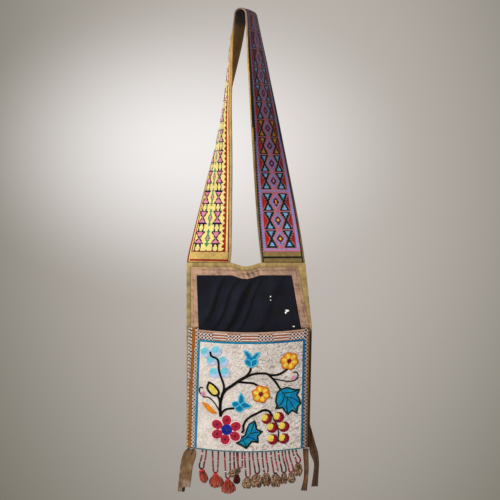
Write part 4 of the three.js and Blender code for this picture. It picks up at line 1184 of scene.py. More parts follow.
def left_pattern(across, rows, bead):
    """Colours of the left panel by bead: hourglass columns, a chain of diamonds and zigzag edges on yellow.

    across counts beads from the outer edge. Also gives where the hourglasses stand up.
    """
    i, j = numbers(across, rows)
    i = (i + 0.5) * PATTERN_BEADS / across - 0.5
    module = HOURGLASS_PITCH / bead
    dj = np.abs((j - HOURGLASS_FIRST / bead + module / 2) % module - module / 2)
    pick = np.full(i.shape, "yellow", dtype="<U12")
    raised = np.zeros(i.shape, bool)
    for centre in LEFT_COLUMNS:
        di = np.abs(i - centre)
        half = 0.6 + 4.9 * dj / 6.6
        body = dj < 6.6
        gap = np.clip((dj - 6.6) / 3.8, 0, 1)
        pick[~body & (np.abs(di - 2.4 - 0.9 * gap) < 1.5 - 1.05 * gap)] = "navy"
        pick[body & (di < half + 0.6)] = "navy"
        pick[body & (di < half - 0.9) & (dj < 5.5)] = "rose"
        raised |= body & (di < half + 0.6)
    di = np.abs(i - CHAIN_COLUMN)
    diamond = di / 3.3 + dj / 5
    pick[(di < 0.6) & (dj > 4) & (dj < 9)] = "green"
    pick[(di < 2.8 * (1 - (dj - 5.6) / 3.6)) & (dj > 5.6)] = "green"
    pick[diamond < 1] = "green"
    pick[diamond < 0.5] = "rose"
    teeth = np.abs((j / 5.25) % 1 - 0.5) * 2
    pick[(i > 30.6) & (i < 35.5) & (33.6 - i < 3.2 * teeth)] = "brick"
    pick[(i < 0.5) | (i > 37.5)] = "brick"
    pick[(j < 1) & (i < 36)] = "brick"
    return pick, raised


def right_pattern(across, rows, bead):
    """Colours of the right panel by bead: diamonds between hourglasses, red side triangles, lavender borders.

    across counts beads from the inner edge, rows from the foot. Also gives where the diamonds stand up.
    """
    i, j = numbers(across, rows)
    f = np.abs((i + 0.5) / across * 2 - 1)
    run = (j + 0.5) * bead
    bar = FOOT_H + LOWER_COUNT * LOWER_PITCH
    above = run > bar + BAR_H
    order = np.where(above, (run - bar - BAR_H) / UPPER_PITCH, (run - FOOT_H) / LOWER_PITCH)
    number = np.floor(order).astype(int)
    t = np.abs((order % 1) * 2 - 1)
    fill = np.where(above & np.isin(number, (2, 3)), "tangerine", "light_blue")
    high_up = above & (number > 6)
    fill = np.where(high_up, np.where(order % 1 < 0.5, "lavender", "crimson"), fill)
    pick = np.full(i.shape, "pink", dtype="<U12")
    pick[(f > 0.55 + 0.25 * t / 0.85) & (f < 0.8) & (t < 0.85)] = "red"
    # Painted shade: the red triangles on the panel's outer half take the darker brick; above the fifth upper
    # figure all of them do.
    pick[(pick == "red") & ((i > across / 2) | (above & (number > 4)))] = "brick"
    glass = np.abs(f - 0.465)
    pick[(glass < 0.06 + 0.27 * t) & (t < 0.94)] = "pine"
    inner = (glass < 0.28 * t - 0.085) & (t < 0.82)
    pick[inner] = fill[inner]
    diamond = f / 0.4 + t
    for limit, name in ((1, "pink"), (0.8, "lavender"), (0.52, "deep_red")):
        pick[diamond < limit] = name
    pick[(diamond < 0.17) & ~above] = "petal_yellow"
    pick[(diamond < 0.2) & above] = "lavender"
    raised = diamond < 0.95
    pick[f > 0.8] = "pink"
    pick[f > 0.83] = "lavender"
    pick[f > 0.965] = "pink"
    upper = j > 0.45 * rows
    pick[(j % 3 > 0) & (i < np.where(upper, 2, 1))] = "black"
    pick[upper & ((i < 1) | (i > across - 2))] = "black"
    foot = run < FOOT_H
    pick[foot & (f < 0.93)] = "lavender"
    pick[(run < 2 * bead) | (np.abs(run - FOOT_H) < bead / 2)] = "pink"
    in_bar = (run > bar) & (run < bar + BAR_H)
    pick[in_bar & (f < 0.93)] = "lavender"
    pick[in_bar & (np.abs(run - bar - BAR_H / 2) > BAR_H / 2 - bead) & (f < 0.8)] = "pink"
    return pick, raised & ~foot & ~in_bar


def painted(pick, amount, seed):
    """Colours from names, each bead a little different."""
    names, inverse = np.unique(pick, return_inverse=True)
    table = np.array([tone(str(name)) for name in names])
    return varied(table[inverse.reshape(pick.shape)], pick.shape, amount, seed)


class BAG_OT_strap_beadwork(bpy.types.Operator):
    """Weaves the two bead panels of the strap."""

    bl_idname = "bag.strap_beadwork"
    bl_label = "Strap beadwork"

    def execute(self, context):
        across = context.scene.bag_sizes.strap_beads
        bead = 2 * BEAD_HALF / across
        half_run = STRAP_RUN / 2
        rows = round((half_run - TAB_H) / bead)
        joint = CLEAR / LEG * np.pi * CROWN_MID

        def left_place(u, v, n):
            """Up the left half from its tab to the crown, n above the lining."""
            run = lerp(TAB_H, half_run - joint, v)
            return strap_point(strap_place(run), lerp(BEAD_HALF, -BEAD_HALF, u), CLEAR + n)

        def right_place(u, v, n):
            """Up the right half in the same way, from its inner edge across."""
            run = STRAP_RUN - lerp(TAB_H, half_run - joint, v)
            return strap_point(strap_place(run), lerp(-BEAD_HALF, BEAD_HALF, u), CLEAR + n)

        pick, raised = left_pattern(across, rows, bead)
        up = (np.arange(rows) / rows)[:, None]
        # The beads are made darker towards the crown.
        tone_shift = lerp(1, np.array([0.5, 0.46, 0.42]), smooth(up, 0.72, 1))
        left = bead_panel("left_strap_panel", left_place, painted(pick, 0.07, 31) * tone_shift, STRAP_BEAD_T,
                          finish("glass_beads"), FIGURE_RISE * raised)
        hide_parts("left_strap_beadwork", "left_hourglasses_outer", "left_hourglasses_inner")
        pick, raised = right_pattern(across, rows, bead)
        # On the right half the beads are darker above its lowest stretch and darker again near the crown.
        tone_shift = lerp(1, np.array([0.62, 0.58, 0.6]), smooth(up, 0.15, 0.5)) * lerp(1, 0.8, smooth(up, 0.8, 1))
        right = bead_panel("right_strap_panel", right_place, painted(pick, 0.08, 32) * tone_shift, STRAP_BEAD_T,
                           finish("glass_beads"), FIGURE_RISE * raised)
        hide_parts("right_strap_beadwork", "right_diamonds")
        return {"FINISHED"}


# Bag cloth
def grid(rows, columns):
    """Shares across and down for a grid of points."""
    return np.linspace(0, 1, rows)[:, None], np.linspace(0, 1, columns)[None]


def wool_fold(u, v):
    """Slanting folds: smooth ridges, steep on one side, that fade out towards the cloth's edges."""
    slant = u + 0.42 * v + 0.05 * mottle(u, v, 1.5, 42)

    def ridge(at, wide):
        """A bell curve across the slant, steeper on its far side."""
        away = (slant - at) / wide
        return np.exp(-(away * np.where(away > 0, 1.7, 0.8)) ** 2)

    fade = np.sin(np.pi * np.clip(v / 0.95, 0, 1)) ** 0.6 * np.sin(np.pi * u) ** 0.6
    folds = ((0.3, 0.05, 0.8), (0.46, 0.03, 0.4), (0.6, 0.06, 1), (0.74, 0.03, 0.3), (0.95, 0.06, 0.35))
    return fade * sum(height * ridge(at, wide) for at, wide, height in folds)


def wool_top(x):
    """Upper edge of the dark cloth: below the binding and the border."""
    return top_h(x) + BINDING_TOP_W + CLEAR + BORDER_TOP_W + CLEAR


wool_place = patch(lambda h: strip_left1(h) + CLEAR, lambda h: border_right1(h) - CLEAR, wool_top,
                   lambda x: mouth_h(x) + WOOL_TUCK)
# Specks of lint on the dark cloth: place across and down, width and height
LINT = [(59, 81.5, 3.4, 3.8), (59.5, 90, 3, 2.8), (99, 115.5, 9.5, 6.5), (95.5, 120, 5, 5.5),
        (115, 153, 6.5, 3.4)]
# Rings of a speck: share of its width, and height over the cloth
LINT_RINGS = np.array([1.0, 0.8, 0.35])
LINT_RISE = np.array([-0.15, 0.1, 0.25]) * MM


def wool_face(x, h, u, v):
    """The dark cloth's front: folds and fine creases."""
    crease = 0.25 * MM * mottle(x, h, 28 * MM, 41) * np.sin(np.pi * u) * np.sin(np.pi * np.clip(v, 0, 1))
    fold = bpy.context.scene.bag_sizes.fold_depth * wool_fold(u, v)
    return -CLEAR - WOOL_T - fold + np.minimum(crease, 0.6 * MM)


def border_path():
    """Outer and inner edge of the ribbon border, up the left, across the top and down the right."""
    def top0(x):
        """Upper edge, just below the binding."""
        return top_h(x) + BINDING_TOP_W + CLEAR

    def top1(x):
        """Lower edge, one ribbon width further down."""
        return top0(x) + BORDER_TOP_W

    down = np.linspace(top1(BAG_HALF), MOUTH_H - CLEAR, 30)
    up = down[::-1]
    across = np.linspace(-0.74, 0.69, 80) * BAG_HALF
    corner = top0(BAG_HALF)
    left_out = np.stack([strip_left0(up), up], -1)
    left_out[-1] = strip_left0(corner), corner
    right_out = np.stack([strip_right0(down), down], -1)
    right_out[0] = strip_right0(corner), corner
    outer = np.concatenate([left_out, np.stack([across, top0(across)], -1), right_out])
    inner = np.concatenate([np.stack([strip_left1(up), up], -1), np.stack([across, top1(across)], -1),
                            np.stack([border_right1(down), down], -1)])
    return outer, inner


def binding_path():
    """Outer edge, wrap and inner edge of the binding, up the left, across the top and down the right."""
    down = np.linspace(BINDING_TOP_W, BAG_H - CLEAR, 220)
    up = down[::-1]
    across = np.linspace(-0.9, 0.84, 110) * BAG_HALF
    edges = []
    for left_w, right_w, top_w in ((0, 0, 0), (BINDING_WRAP_T, BINDING_WRAP_T, BINDING_WRAP_T),
                                   (bind_left, bind_right, BINDING_TOP_W)):
        wide_left = left_w(up) if callable(left_w) else left_w
        wide_right = right_w(down) if callable(right_w) else right_w
        left = np.stack([left_x(up) + wide_left, up], -1)
        right = np.stack([right_x(down) - wide_right, down], -1)
        left[-1, 1] = top_w
        right[0, 1] = top_w
        right[0, 0] += right_x(top_w) - right_x(BINDING_TOP_W)
        edges.append(np.concatenate([left, np.stack([across, top_h(across) + top_w], -1), right]))
    return edges


# Cells across the ribbon border, and the one that holds its sewn line
BORDER_CELLS = 12
BORDER_SEAM = 4


class BAG_OT_bag_cloth(bpy.types.Operator):
    """Makes the rear cloth, the dark cloth, the ribbon border, the binding and the pocket's cloth."""

    bl_idname = "bag.bag_cloth"
    bl_label = "Bag cloth"

    def execute(self, context):
        self.rear()
        self.wool()
        self.border()
        self.binding()
        self.pocket()
        return {"FINISHED"}

    def rear(self):
        """The rear cloth: flat in front, with soft vertical drag lines behind."""
        wrap = BINDING_WRAP_T + CLEAR
        place = patch(lambda h: left_x(h) + wrap, lambda h: right_x(h) - wrap,
                      lambda x: top_h(x) + wrap, hem_h)
        u, v = grid(60, 80)
        x, h = place(u, v)
        drag = 0.5 * MM * mottle(x, h * 0.3, 70 * MM, 51) * np.sin(np.pi * u) * np.sin(np.pi * v)
        back = bag_point(x, BACK_T + drag, h)
        tint = varied(tone("back"), cells_of(x), 0.03, 52)
        piece = slab_piece("rear_cloth", bag_point(x, 0 * x, h), back, finish("cotton"), tint)
        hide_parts("bag_back")

    def wool(self):
        """The dark cloth with its folds and the specks of lint on it."""
        u, v = grid(90, 80)
        x, h = wool_place(u, v)
        front = bag_point(x, wool_face(x, h, u, v), h)
        tint = varied(tone("wool"), cells_of(x), 0.16, 53)
        fold = wool_fold(u, v)
        # Painted light and shade on the folds: each is lighter on one slope and darker on the other, with
        # soft patches over that.
        slope = np.gradient(fold, axis=0) / np.abs(np.gradient(fold, axis=0)).max()
        fade = np.clip(1 + 2.3 * slope + 0.4 * mottle(x, h, 60 * MM, 54), 0.15, 3.2)[:-1, :-1, None]
        piece = slab_piece("dark_cloth", front, bag_point(x, -CLEAR, h), finish("wool_cloth"),
                           np.clip(tint * fade, 0, 1))
        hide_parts("wool_panel")
        turn = np.linspace(0, 2 * np.pi, 14, endpoint=False)
        for k, (at_x, at_h, wide, deep) in enumerate(np.array(LINT) * MM):
            ragged = 1 + 0.25 * np.sin(3 * turn + k) + 0.15 * np.cos(5 * turn + 2 * k)
            px = at_x + np.outer(LINT_RINGS, wide / 2 * ragged * np.cos(turn))
            ph = at_h + np.outer(LINT_RINGS, deep / 2 * ragged * np.sin(turn))
            nearest = np.argmin((x - at_x) ** 2 + (h - at_h) ** 2)
            face = front.reshape(-1, 3)[nearest, 1]
            rings = bag_point(px, (face - LINT_RISE)[:, None], ph)
            speck = loft_piece(f"lint_{k + 1}", rings, finish("yarn"), tone("lint"))

    def border(self):
        """The ribbon border: gathered in small pleats under the dip, creased elsewhere, with a sewn line."""
        outer, inner = border_path()
        share = np.linspace(0, 1, BORDER_CELLS + 1)
        xh = outer[:, None] + (inner - outer)[:, None] * share[:, None]
        x, h = xh[..., 0], xh[..., 1]
        pleat = np.exp(-((x - 6 * MM) / (30 * MM)) ** 2) * (h < 45 * MM)
        ripple = 0.7 * MM * pleat * np.sin((x - 0.5 * h) / (13 * MM) * 2 * np.pi)
        crease = 0.3 * MM * mottle(x, h, 14 * MM, 55)
        edge = np.sin(np.pi * share) ** 0.4
        front = bag_point(x, -CLEAR - BORDER_T - np.clip(ripple + crease, -0.5 * MM, 1.1 * MM) * edge, h)
        tint = varied(tone("mauve"), cells_of(x), 0.035, 56)
        near = np.clip(1 - share[:-1] * 2.4, 0, 1)[:, None]
        tint = lerp(tint, tone("olive"), 0.55 * near)
        shade = 1 - 0.45 * (ripple / (0.7 * MM) * (ripple > 0)) + 0.16 * mottle(x, h, 11 * MM, 55)
        shade = shade + 0.1 * mottle(x, h, 45 * MM, 50)
        shade = shade * lerp(1.06, 0.8, smooth(x, -0.5 * BAG_HALF, 0.95 * BAG_HALF))
        seam = (np.arange(len(share) - 1) == BORDER_SEAM)[None, :, None]
        dashes = (np.arange(len(x) - 1) % 7 > 1)[:, None, None]
        tint = np.where(seam & dashes, tint * 0.5, tint) * shade[:-1, :-1, None]
        piece = slab_piece("border_ribbon", front, bag_point(x, -CLEAR, h), finish("ribbon"),
                           np.clip(tint, 0, 1))
        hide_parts("ribbon_border")
        line_length(outer)
        float(line_length(outer) * BORDER_MEAN_W)

    def binding(self):
        """The olive tape over the edges: a rounded L section carried around three sides."""
        outer, wrap, inner = binding_path()
        soft = 0.7 * MM
        face = -CLEAR - BINDING_T
        into = unit(inner - outer)
        rows = [(outer, BACK_T), (outer, face + soft), (outer + into * soft * 0.3, face + 0.3 * soft),
                (outer + into * soft, face), ((outer + inner) / 2, face - 0.3 * MM),
                (inner - into * soft, face), (inner, face + soft), (inner, -CLEAR), (wrap, -CLEAR),
                (wrap, BACK_T)]
        rings = np.stack([bag_point(edge[:, 0], y, edge[:, 1]) for edge, y in rows], 1)
        run = runs(rings)[0]
        pucker = 0.3 * MM * np.clip(mottle(run, 0, 12 * MM, 57), -0.8, 1)
        rings[:, 3:6, 1] -= pucker[:, None]
        tint = varied(tone("olive"), (len(rings) - 1, len(rows)), 0.04, 58)
        # Painted shading: the tape turns softly lighter and darker along its length, with painted highlights
        # on its wrinkles near the top.
        tint = tint * (1 + 0.14 * mottle(run[:-1], 0, 16 * MM, 59))[:, None, None]
        top = 1 - smooth(outer[:-1, 1], 12 * MM, 30 * MM)
        tint = tint * (1 + 0.12 * top * (1 + mottle(run[:-1], 0, 9 * MM, 69)))[:, None, None]
        low_right = smooth(outer[:-1, 1], MOUTH_H, MOUTH_H + 12 * MM) * (outer[:-1, 0] > 0)
        tint = lerp(tint, tone("shade"), low_right[:, None, None])
        low_left = (outer[:-1, 1] > MOUTH_H) & (outer[:-1, 0] < 0)
        inner_face = np.isin(np.arange(len(rows)), (4, 5, 6))
        dark_cell = (run[:-1] / (8.5 * MM) % 1 < 0.45)[:, None, None]
        net = np.where(dark_cell, tone("net_mauve") * 0.8, tone("white") * 0.85)
        tint = np.where((low_left[:, None] & inner_face)[..., None], net, tint)
        piece = loft_piece("edge_binding", rings, finish("tape"), np.clip(tint, 0, 1))
        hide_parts("bag_binding")

    def pocket(self):
        """The pocket's cloth: it bows out at the mouth."""
        u, v = grid(50, 60)
        x, h = pocket_place(u, v)
        y = pocket_y(x, h)
        tint = varied(tone("pocket"), cells_of(x), 0.04, 60)
        piece = slab_piece("pocket_cloth", bag_point(x, y - POCKET_T, h), bag_point(x, y, h),
                           finish("cotton"), tint)
        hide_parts("pocket_front")


# Pocket beadwork
STREAK_PITCH = 0.036


def ground_streaks(u, v):
    """Slanting furrows between the beads, 0 to 1: a sine wave whose phase wanders, in short lengths."""
    across = v + 0.6 * u
    wander = 0.03 * mottle(u, v, 0.2, 65) + 0.014 * mottle(u, v, 0.06, 66)
    wave = np.sin((across + wander) / STREAK_PITCH * 2 * np.pi)
    return smooth(wave, 0.1, 0.95) * smooth(mottle(0.4 * (u - 0.6 * v), across, 0.035, 67), -0.9, 0.5)


def ground_place(u, v, n):
    """The bead ground: rows that wander a little, over the pocket's bow."""
    u, v = np.broadcast_arrays(u, v)
    away = np.sin(np.pi * u) * np.sin(np.pi * v)
    n = n * (1 - 0.3 * away ** 0.3 * ground_streaks(u, v))
    rows = v + 0.006 * np.sqrt(away) * np.sin(u * 23 + 2 * np.sin(v * 9))
    columns = u + 0.004 * away * np.sin(v * 31 + 2 * np.sin(u * 7))
    x, h = panel_place(columns, rows)
    return bag_point(x, pocket_y(x, h) - SKIN - n, h)


def crossing(a, b, period, wide):
    """Where two sets of slanting lines run, in beads."""
    return ((a + b) % period < wide) | ((a - b) % period < wide)


def width_halfway(place):
    """Width of a patch halfway down it."""
    x = place(np.array([0.0, 1.0]), 0.5)[0]
    return float(x[1] - x[0])


# Stretches of netting, as shares across the mouth; the cloth above it; a bead of the blue line
MOUTH_GROUPS = ((0.0, 0.14), (0.265, 0.405), (0.555, 0.705), (0.855, 1.0))
MOUTH_CLOTH_H = 5 * MM
LINE_BEAD = 2.2 * MM


class BAG_OT_pocket_beadwork(bpy.types.Operator):
    """Makes the bead ground, the blue line around it, the mouth's netted band and the side bands."""

    bl_idname = "bag.pocket_beadwork"
    bl_label = "Pocket beadwork"

    def execute(self, context):
        sizes = context.scene.bag_sizes
        self.ground(sizes.ground_bead)
        self.blue_line()
        self.mouth(sizes.net_bead)
        self.sides(sizes.net_bead)
        return {"FINISHED"}

    def ground(self, bead):
        """Warm white beads with soft stains, and painted shade towards the right, in a patch right of the
        middle near the top and in the furrows.
        """
        across = round(width_halfway(panel_place) / bead)
        down = round((BAG_H - MOUTH_H - MOUTH_BAND_H) / bead)
        i, j = numbers(across, down)
        u, v = (i + 0.5) / across, (j + 0.5) / down
        tint = varied(tone("ground"), (across, down), 0.08, 61)
        # Soft stains, with painted shade darker towards the right and in a patch right of the middle near the
        # top.
        stain_and_shade = 1 + 0.06 * mottle(u, v, 0.25, 62) - 0.08 * smooth(u, 0.45, 1)
        stain_and_shade = stain_and_shade - 0.12 * np.exp(-((u - 0.66) / 0.12) ** 2 - ((v - 0.2) / 0.18) ** 2)
        warm = np.array([1, 0.985, 0.965]) ** np.clip(mottle(u, v, 0.12, 63) + 0.3, 0, 2)[..., None]
        # Painted shade in the slanting furrows, deeper towards the right.
        deep = ground_streaks(u, v) * lerp(0.25, 1.55, smooth(u, 0, 0.8))
        furrow_shade = lerp(1.05, np.array([0.68, 0.65, 0.62]), deep[..., None])
        # A few beads at random are painted darker, more towards the right, as shade in the gaps between
        # beads.
        gap = np.where(np.random.default_rng(68).random(u.shape) < 0.06, lerp(0.92, 0.78, u), 1.0)
        tint = np.clip(tint * (stain_and_shade * gap)[..., None] * furrow_shade * warm, 0, 1)
        piece = bead_panel("bead_ground", ground_place, tint, POCKET_BEAD_T, finish("glass_beads"))
        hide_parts("pocket_beadwork")

    def blue_line(self):
        """Two rows of beads along the top and sides of the ground, one along the hem."""
        rows = BeadRows()
        ends = {"top": (0.0, 0.0, 1.0, 0.0), "right": (1.0, 0.0, 1.0, 1.0), "hem": (0.0, 1.0, 1.0, 1.0),
                "left": (0.0, 0.0, 0.0, 1.0)}
        for k, (edge, (u0, v0, u1, v1)) in enumerate(ends.items()):
            shares = (0.5,) if edge == "hem" else (0.25, 0.75)
            for share in shares:
                t = np.linspace(0.005, 0.995, 200)
                outer = np.stack(framed_place(lerp(u0, u1, t), lerp(v0, v1, t)), -1)
                inner = np.stack(inside_place(lerp(u0, u1, t), lerp(v0, v1, t)), -1)
                line = lerp(outer, inner, share)
                count = round(line_length(line) / LINE_BEAD)
                line = spaced(line, 2 * count + 1)
                x, h = line[:, 0], line[:, 1]
                place = bag_point(x, pocket_y(x, h) - SKIN - FRAME_T / 2, h)
                bluer = lerp(1, np.array([1, 0.52, 0.72]), smooth(x[1::2], -0.04, 0.13)[:, None])
                base = tone("teal") * (np.array([0.75, 0.6, 0.5]) if edge == "hem" else bluer)
                tint = varied(base, (count,), 0.1, 64 + k)
                rows.add(place, pocket_normal(x, h), tint, HEM_W if edge == "hem" else FRAME_W / 2, FRAME_T)
        piece = rows.piece("blue_line", finish("glass_beads"))
        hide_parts("bead_frame")

    def mouth(self, bead):
        """Netting in four groups with stripes between them, below a strip of plain cloth."""
        skip = MOUTH_CLOTH_H / MOUTH_BAND_H
        across, down = round(width_halfway(band_place) / bead), round((MOUTH_BAND_H - MOUTH_CLOTH_H) / bead)
        i, j = numbers(across, down)
        u = (i + 0.5) / across
        groups = np.any([(u > a) & (u < b) for a, b in MOUTH_GROUPS], axis=0)
        cells = np.where(j % 5 < 2, "rust", "dark_bead")
        net = np.where(crossing(i, j, 5, 1), "white", cells)
        lines = np.where(j % 4 < 1, "white", np.where(j % 4 < 2, "mauve", "rust"))
        tint = painted(np.where(groups, net, lines), 0.12, 71)

        def place(a, b, n):
            """Down the netting from below the cloth strip, n above the pocket."""
            px, ph = band_place(a, lerp(skip, 1, b))
            return bag_point(px, pocket_y(px, ph) - SKIN - n, ph)

        piece = bead_panel("mouth_netting", place, tint, MOUTH_BAND_T, finish("glass_beads"))
        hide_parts("mouth_band")
        u, v = grid(60, 5)
        px, ph = band_place(u, v * (skip - 0.02))
        y = pocket_y(px, ph) - SKIN
        edge = np.sin(np.pi * np.clip(v, 0.06, 0.94)) ** 0.5 + 0 * u
        hem = slab_piece("mouth_tape", bag_point(px, y - MOUTH_BAND_T * edge, ph), bag_point(px, y, ph),
                         finish("ribbon"), varied(tone("mauve"), cells_of(px), 0.04, 72))

    def sides(self, bead):
        """Checked netting along both sides of the pocket with an amber line in it."""
        depth = WOOL_T + CLEAR + POCKET_T + CLEAR + POCKET_BEAD_T
        bands = (("left_side_band", strip_left0, strip_left1, (0.42, 0.22), 0.21, 0.95),
                 ("right_side_band", strip_right1, strip_right0, (0.82, 0.82), 0.15, 0.54))
        for k, (name, x0, x1, ends, half, light) in enumerate(bands):
            spot = patch(x0, x1, lambda x: MOUTH_H + 0 * x, lambda x: BAG_H + 0 * x)
            wide = float(x1(MOUTH_H) - x0(MOUTH_H))
            across, down = round(wide / bead), round((BAG_H - MOUTH_H) / bead)
            i, j = numbers(across, down)
            u = (i + 0.5) / across
            pick = np.where(crossing(i, j, 5, 2), "white", np.where(j % 10 < 5, "dark_bead", "net_mauve"))
            pick[np.abs(u - lerp(*ends, smooth((j + 0.5) / down, 0, 0.6))) < half] = "amber"

            def place(a, b, n, spot=spot):
                """Across and down the side band, n above the rear cloth."""
                x, h = spot(a, b)
                return bag_point(x, -CLEAR - n, h)

            tint = painted(pick, 0.1, 73 + k) * light
            piece = bead_panel(name.replace("_band", "_netting"), place, tint, depth, finish("glass_beads"))
            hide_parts(name)


# The plant, in the units of its drawing: about one bead each
ROW = 0.92
BEAD_STEP = 0.8
STEM_BEAD = 1.4
VEIN_BEAD = 1.1
STEM_OFFSETS = {1: (0,), 2: (-0.5, 0.5), 3: (-0.9, 0, 0.9)}
RAISE = SKIN + POCKET_BEAD_T + CLEAR
LEAF_RIGHT = [(80.8, 44.8), (87.5, 43.3), (91.2, 44.9), (95.7, 46.7), (99.7, 46.4), (97, 52.2), (99.1, 55.1),
              (101, 61), (98.1, 63.8), (97.4, 70.6), (92.8, 67), (88.5, 70.8), (84.3, 65.3), (83.3, 63.4),
              (76.6, 63.9), (77.8, 59.9), (76.4, 57.1), (76.7, 52.6), (77.8, 48.2)]
LEAF_RIGHT_VEINS = [[(80.8, 45.4), (85.5, 51.5), (91, 58.5), (96.6, 68.4)],
                    [(83.2, 48.6), (90.5, 48.8), (97.8, 47.4)], [(86.6, 52.8), (93, 54.6), (99.6, 60.2)],
                    [(85, 51), (83.2, 57), (78, 62.8)], [(88, 54.8), (87.2, 61.5), (88.4, 69)]]
LEAF_LOWER = [(39.1, 98.1), (44.2, 91.7), (47.2, 89.9), (48.8, 83.7), (50.8, 78.8), (56, 75.4), (57.3, 78.5),
              (58.2, 83.9), (63.9, 86.3), (59.3, 91), (60, 97.2), (53.7, 96.2), (48.7, 103.2), (43.2, 99.7)]
LEAF_LOWER_VEINS = [[(40.4, 97.8), (47, 93.2), (52, 88), (55.6, 77.5)],
                    [(51.6, 88.6), (57, 87), (62.6, 86.6)], [(48.6, 91.8), (53.5, 92.5), (59, 96)],
                    [(45.2, 94.6), (47, 98), (48.6, 102)]]
TULIP = [(43, 4.4), (46.4, 11.6), (44.3, 14.9), (45.3, 18), (47.7, 20.3), (50.9, 21.3), (53.5, 21),
         (56.6, 19), (57.8, 15.4), (56.8, 12.6), (59.6, 6.4), (55.9, 6.4), (51.8, 10.4), (49.9, 7.3),
         (47.5, 5)]
TULIP_LINES = [[(51.3, 20.6), (51.2, 15.7)],
               [(45.6, 13.9), (48.8, 13.5), (51.2, 15.7), (53.6, 13.3), (56.6, 13.1)]]
BELL = [(41.8, 46.8), (44.9, 51), (45.9, 56.2), (52.8, 59.8), (50.6, 62), (45.3, 63.3), (44, 65.6),
        (40.9, 66.9), (37.3, 65.2), (36.1, 62.2), (33.5, 60.4), (33.2, 57.3), (36, 55.5), (39.6, 55.9),
        (39.9, 51.4)]
BELL_LINES = [[(39.4, 56), (41.2, 59.2), (36.6, 62)], [(45.6, 56.4), (41.2, 59.2), (45.4, 63)]]
ORANGE_LEAF = [(3.3, 58.9), (8.3, 59.5), (12.9, 62.8), (16.7, 66.6), (19.4, 68.6), (14.1, 69.8), (9.5, 67.1),
               (6.2, 63.2)]
YELLOW_LEAF = [(10.1, 38.5), (14.7, 41), (19.4, 46.2), (19.6, 49.3), (17.4, 50.8), (14.2, 50.5), (10.5, 47.5),
               (8.7, 44)]
PETALS = [(28.7, 75.4), (37.6, 81.2), (37.2, 91), (27.7, 94.6), (19.7, 89.9), (19.5, 80.2)]
PETAL_R = 5
RED_CENTRE = (29, 84.8)
CENTRE_R = 5.3
BLUE_BERRIES = [(5.8, 8.5), (16.4, 6.2), (12, 16), (23.2, 16.4), (15, 28.4), (25.7, 27.3)]
BLUE_STALK = [(10.3, 7.2), (11.3, 11.2), (17.9, 14.7), (19.5, 25.5), (21.8, 32)]
BLUE_BERRY_R = 5.2
RED_BERRIES = [(67.9, 73.6), (79.8, 72.8), (73.6, 82.9), (85.2, 82.9), (74.4, 94.8), (85.3, 94.8)]
RED_STALK = [(74, 71.6), (74.6, 74.4), (78.6, 81.5), (79.8, 90.6), (79.8, 97.8)]
RED_BERRY_R = 5.3
FLOWER_R = 9.4
PETAL_TURN = np.radians(15)
ORANGE_FLOWERS = {"orange_flower_upper": (88.8, 16.9), "orange_flower_middle": (61.7, 48.5)}
VINE = [
    ([(21.4, 31), (24.8, 40.6), (24.4, 47.8)], 2),
    ([(24.4, 47.4), (22.1, 56.9), (21.9, 65.9), (22.6, 72)], 3),
    ([(23.2, 50.6), (26.6, 44.9), (33.6, 39.6), (40.6, 34.2), (47.6, 30.3)], 3),
    ([(47, 30.7), (54.7, 27.9), (65.5, 27.8), (70, 29.5), (78.1, 29.6), (83.4, 27.3), (87.3, 24.6)], 2),
    ([(43, 33.6), (47, 29.6), (50.2, 25.3), (51, 20.6)], 2),
    ([(38.9, 36.3), (46, 36.6), (54.2, 37.6), (59.2, 40.4)], 2),
    ([(68.2, 28.8), (74.7, 35.6), (80.8, 44.8)], 2),
    ([(72.2, 32.8), (81.9, 35.8), (90.9, 37.4), (95.8, 36.2), (97.9, 32.8), (96.4, 29.1), (92.8, 28.5)], 1),
    ([(22.4, 69), (18.8, 62.4), (15, 57.2), (9.9, 53.5), (5, 53.3), (1.8, 50.2), (0.7, 47),
      (1.4, 44.6), (4.2, 44.2)], 1),
    ([(22.2, 71.2), (25.2, 66.1), (29.1, 63.7), (35.8, 62.8)], 2),
    ([(16.5, 48), (20.2, 53.4), (21.9, 59.5)], 2),
]
LOWER_STEM = [(43.6, 87.5), (45.4, 84.6), (45.2, 80.2), (47.5, 74.9), (52.7, 70.5), (58.9, 67.5), (65, 64.8),
              (69.5, 65.7), (73.6, 71.6)]
BUDS = [(93.3, 34.5), (4.5, 50.6)]
BUD_R = 2.3


def circle(centre, radius, count=40, shape=None):
    """A closed round line, its radius varied around it if asked."""
    turn = np.linspace(0, 2 * np.pi, count + 1)
    r = radius * (shape(turn) if shape else 1)
    return np.stack([centre[0] + r * np.cos(turn), centre[1] + r * np.sin(turn)], -1)


def scallop(turn):
    """Six lobes around a circle."""
    return 0.8 + 0.2 * np.abs(np.cos(3 * (turn - PETAL_TURN)))


def closed(points):
    """An outline with its first point again at its end."""
    return np.array([*points, points[0]], float)


def depth_in(spots, outline):
    """How deep each spot lies inside an outline: distance to its nearest side, negative outside."""
    a = np.asarray(outline, float)
    b = np.roll(a, -1, axis=0)
    side = b - a
    to = spots[:, None] - a
    t = np.clip((to * side).sum(-1) / (side * side).sum(-1), 0, 1)
    away = np.linalg.norm(to - t[..., None] * side, axis=-1).min(1)
    x, y = spots[:, None, 0], spots[:, None, 1]
    spans = (a[:, 1] > y) != (b[:, 1] > y)
    rise = np.where(side[:, 1] == 0, 1, side[:, 1])
    hits = spans & (x < a[:, 0] + (y - a[:, 1]) / rise * side[:, 0])
    return np.where(hits.sum(1) % 2 == 1, away, -away)


def away_from(spots, centre):
    """Distance of each spot from a centre."""
    return np.hypot(*(spots - np.array(centre)).T)


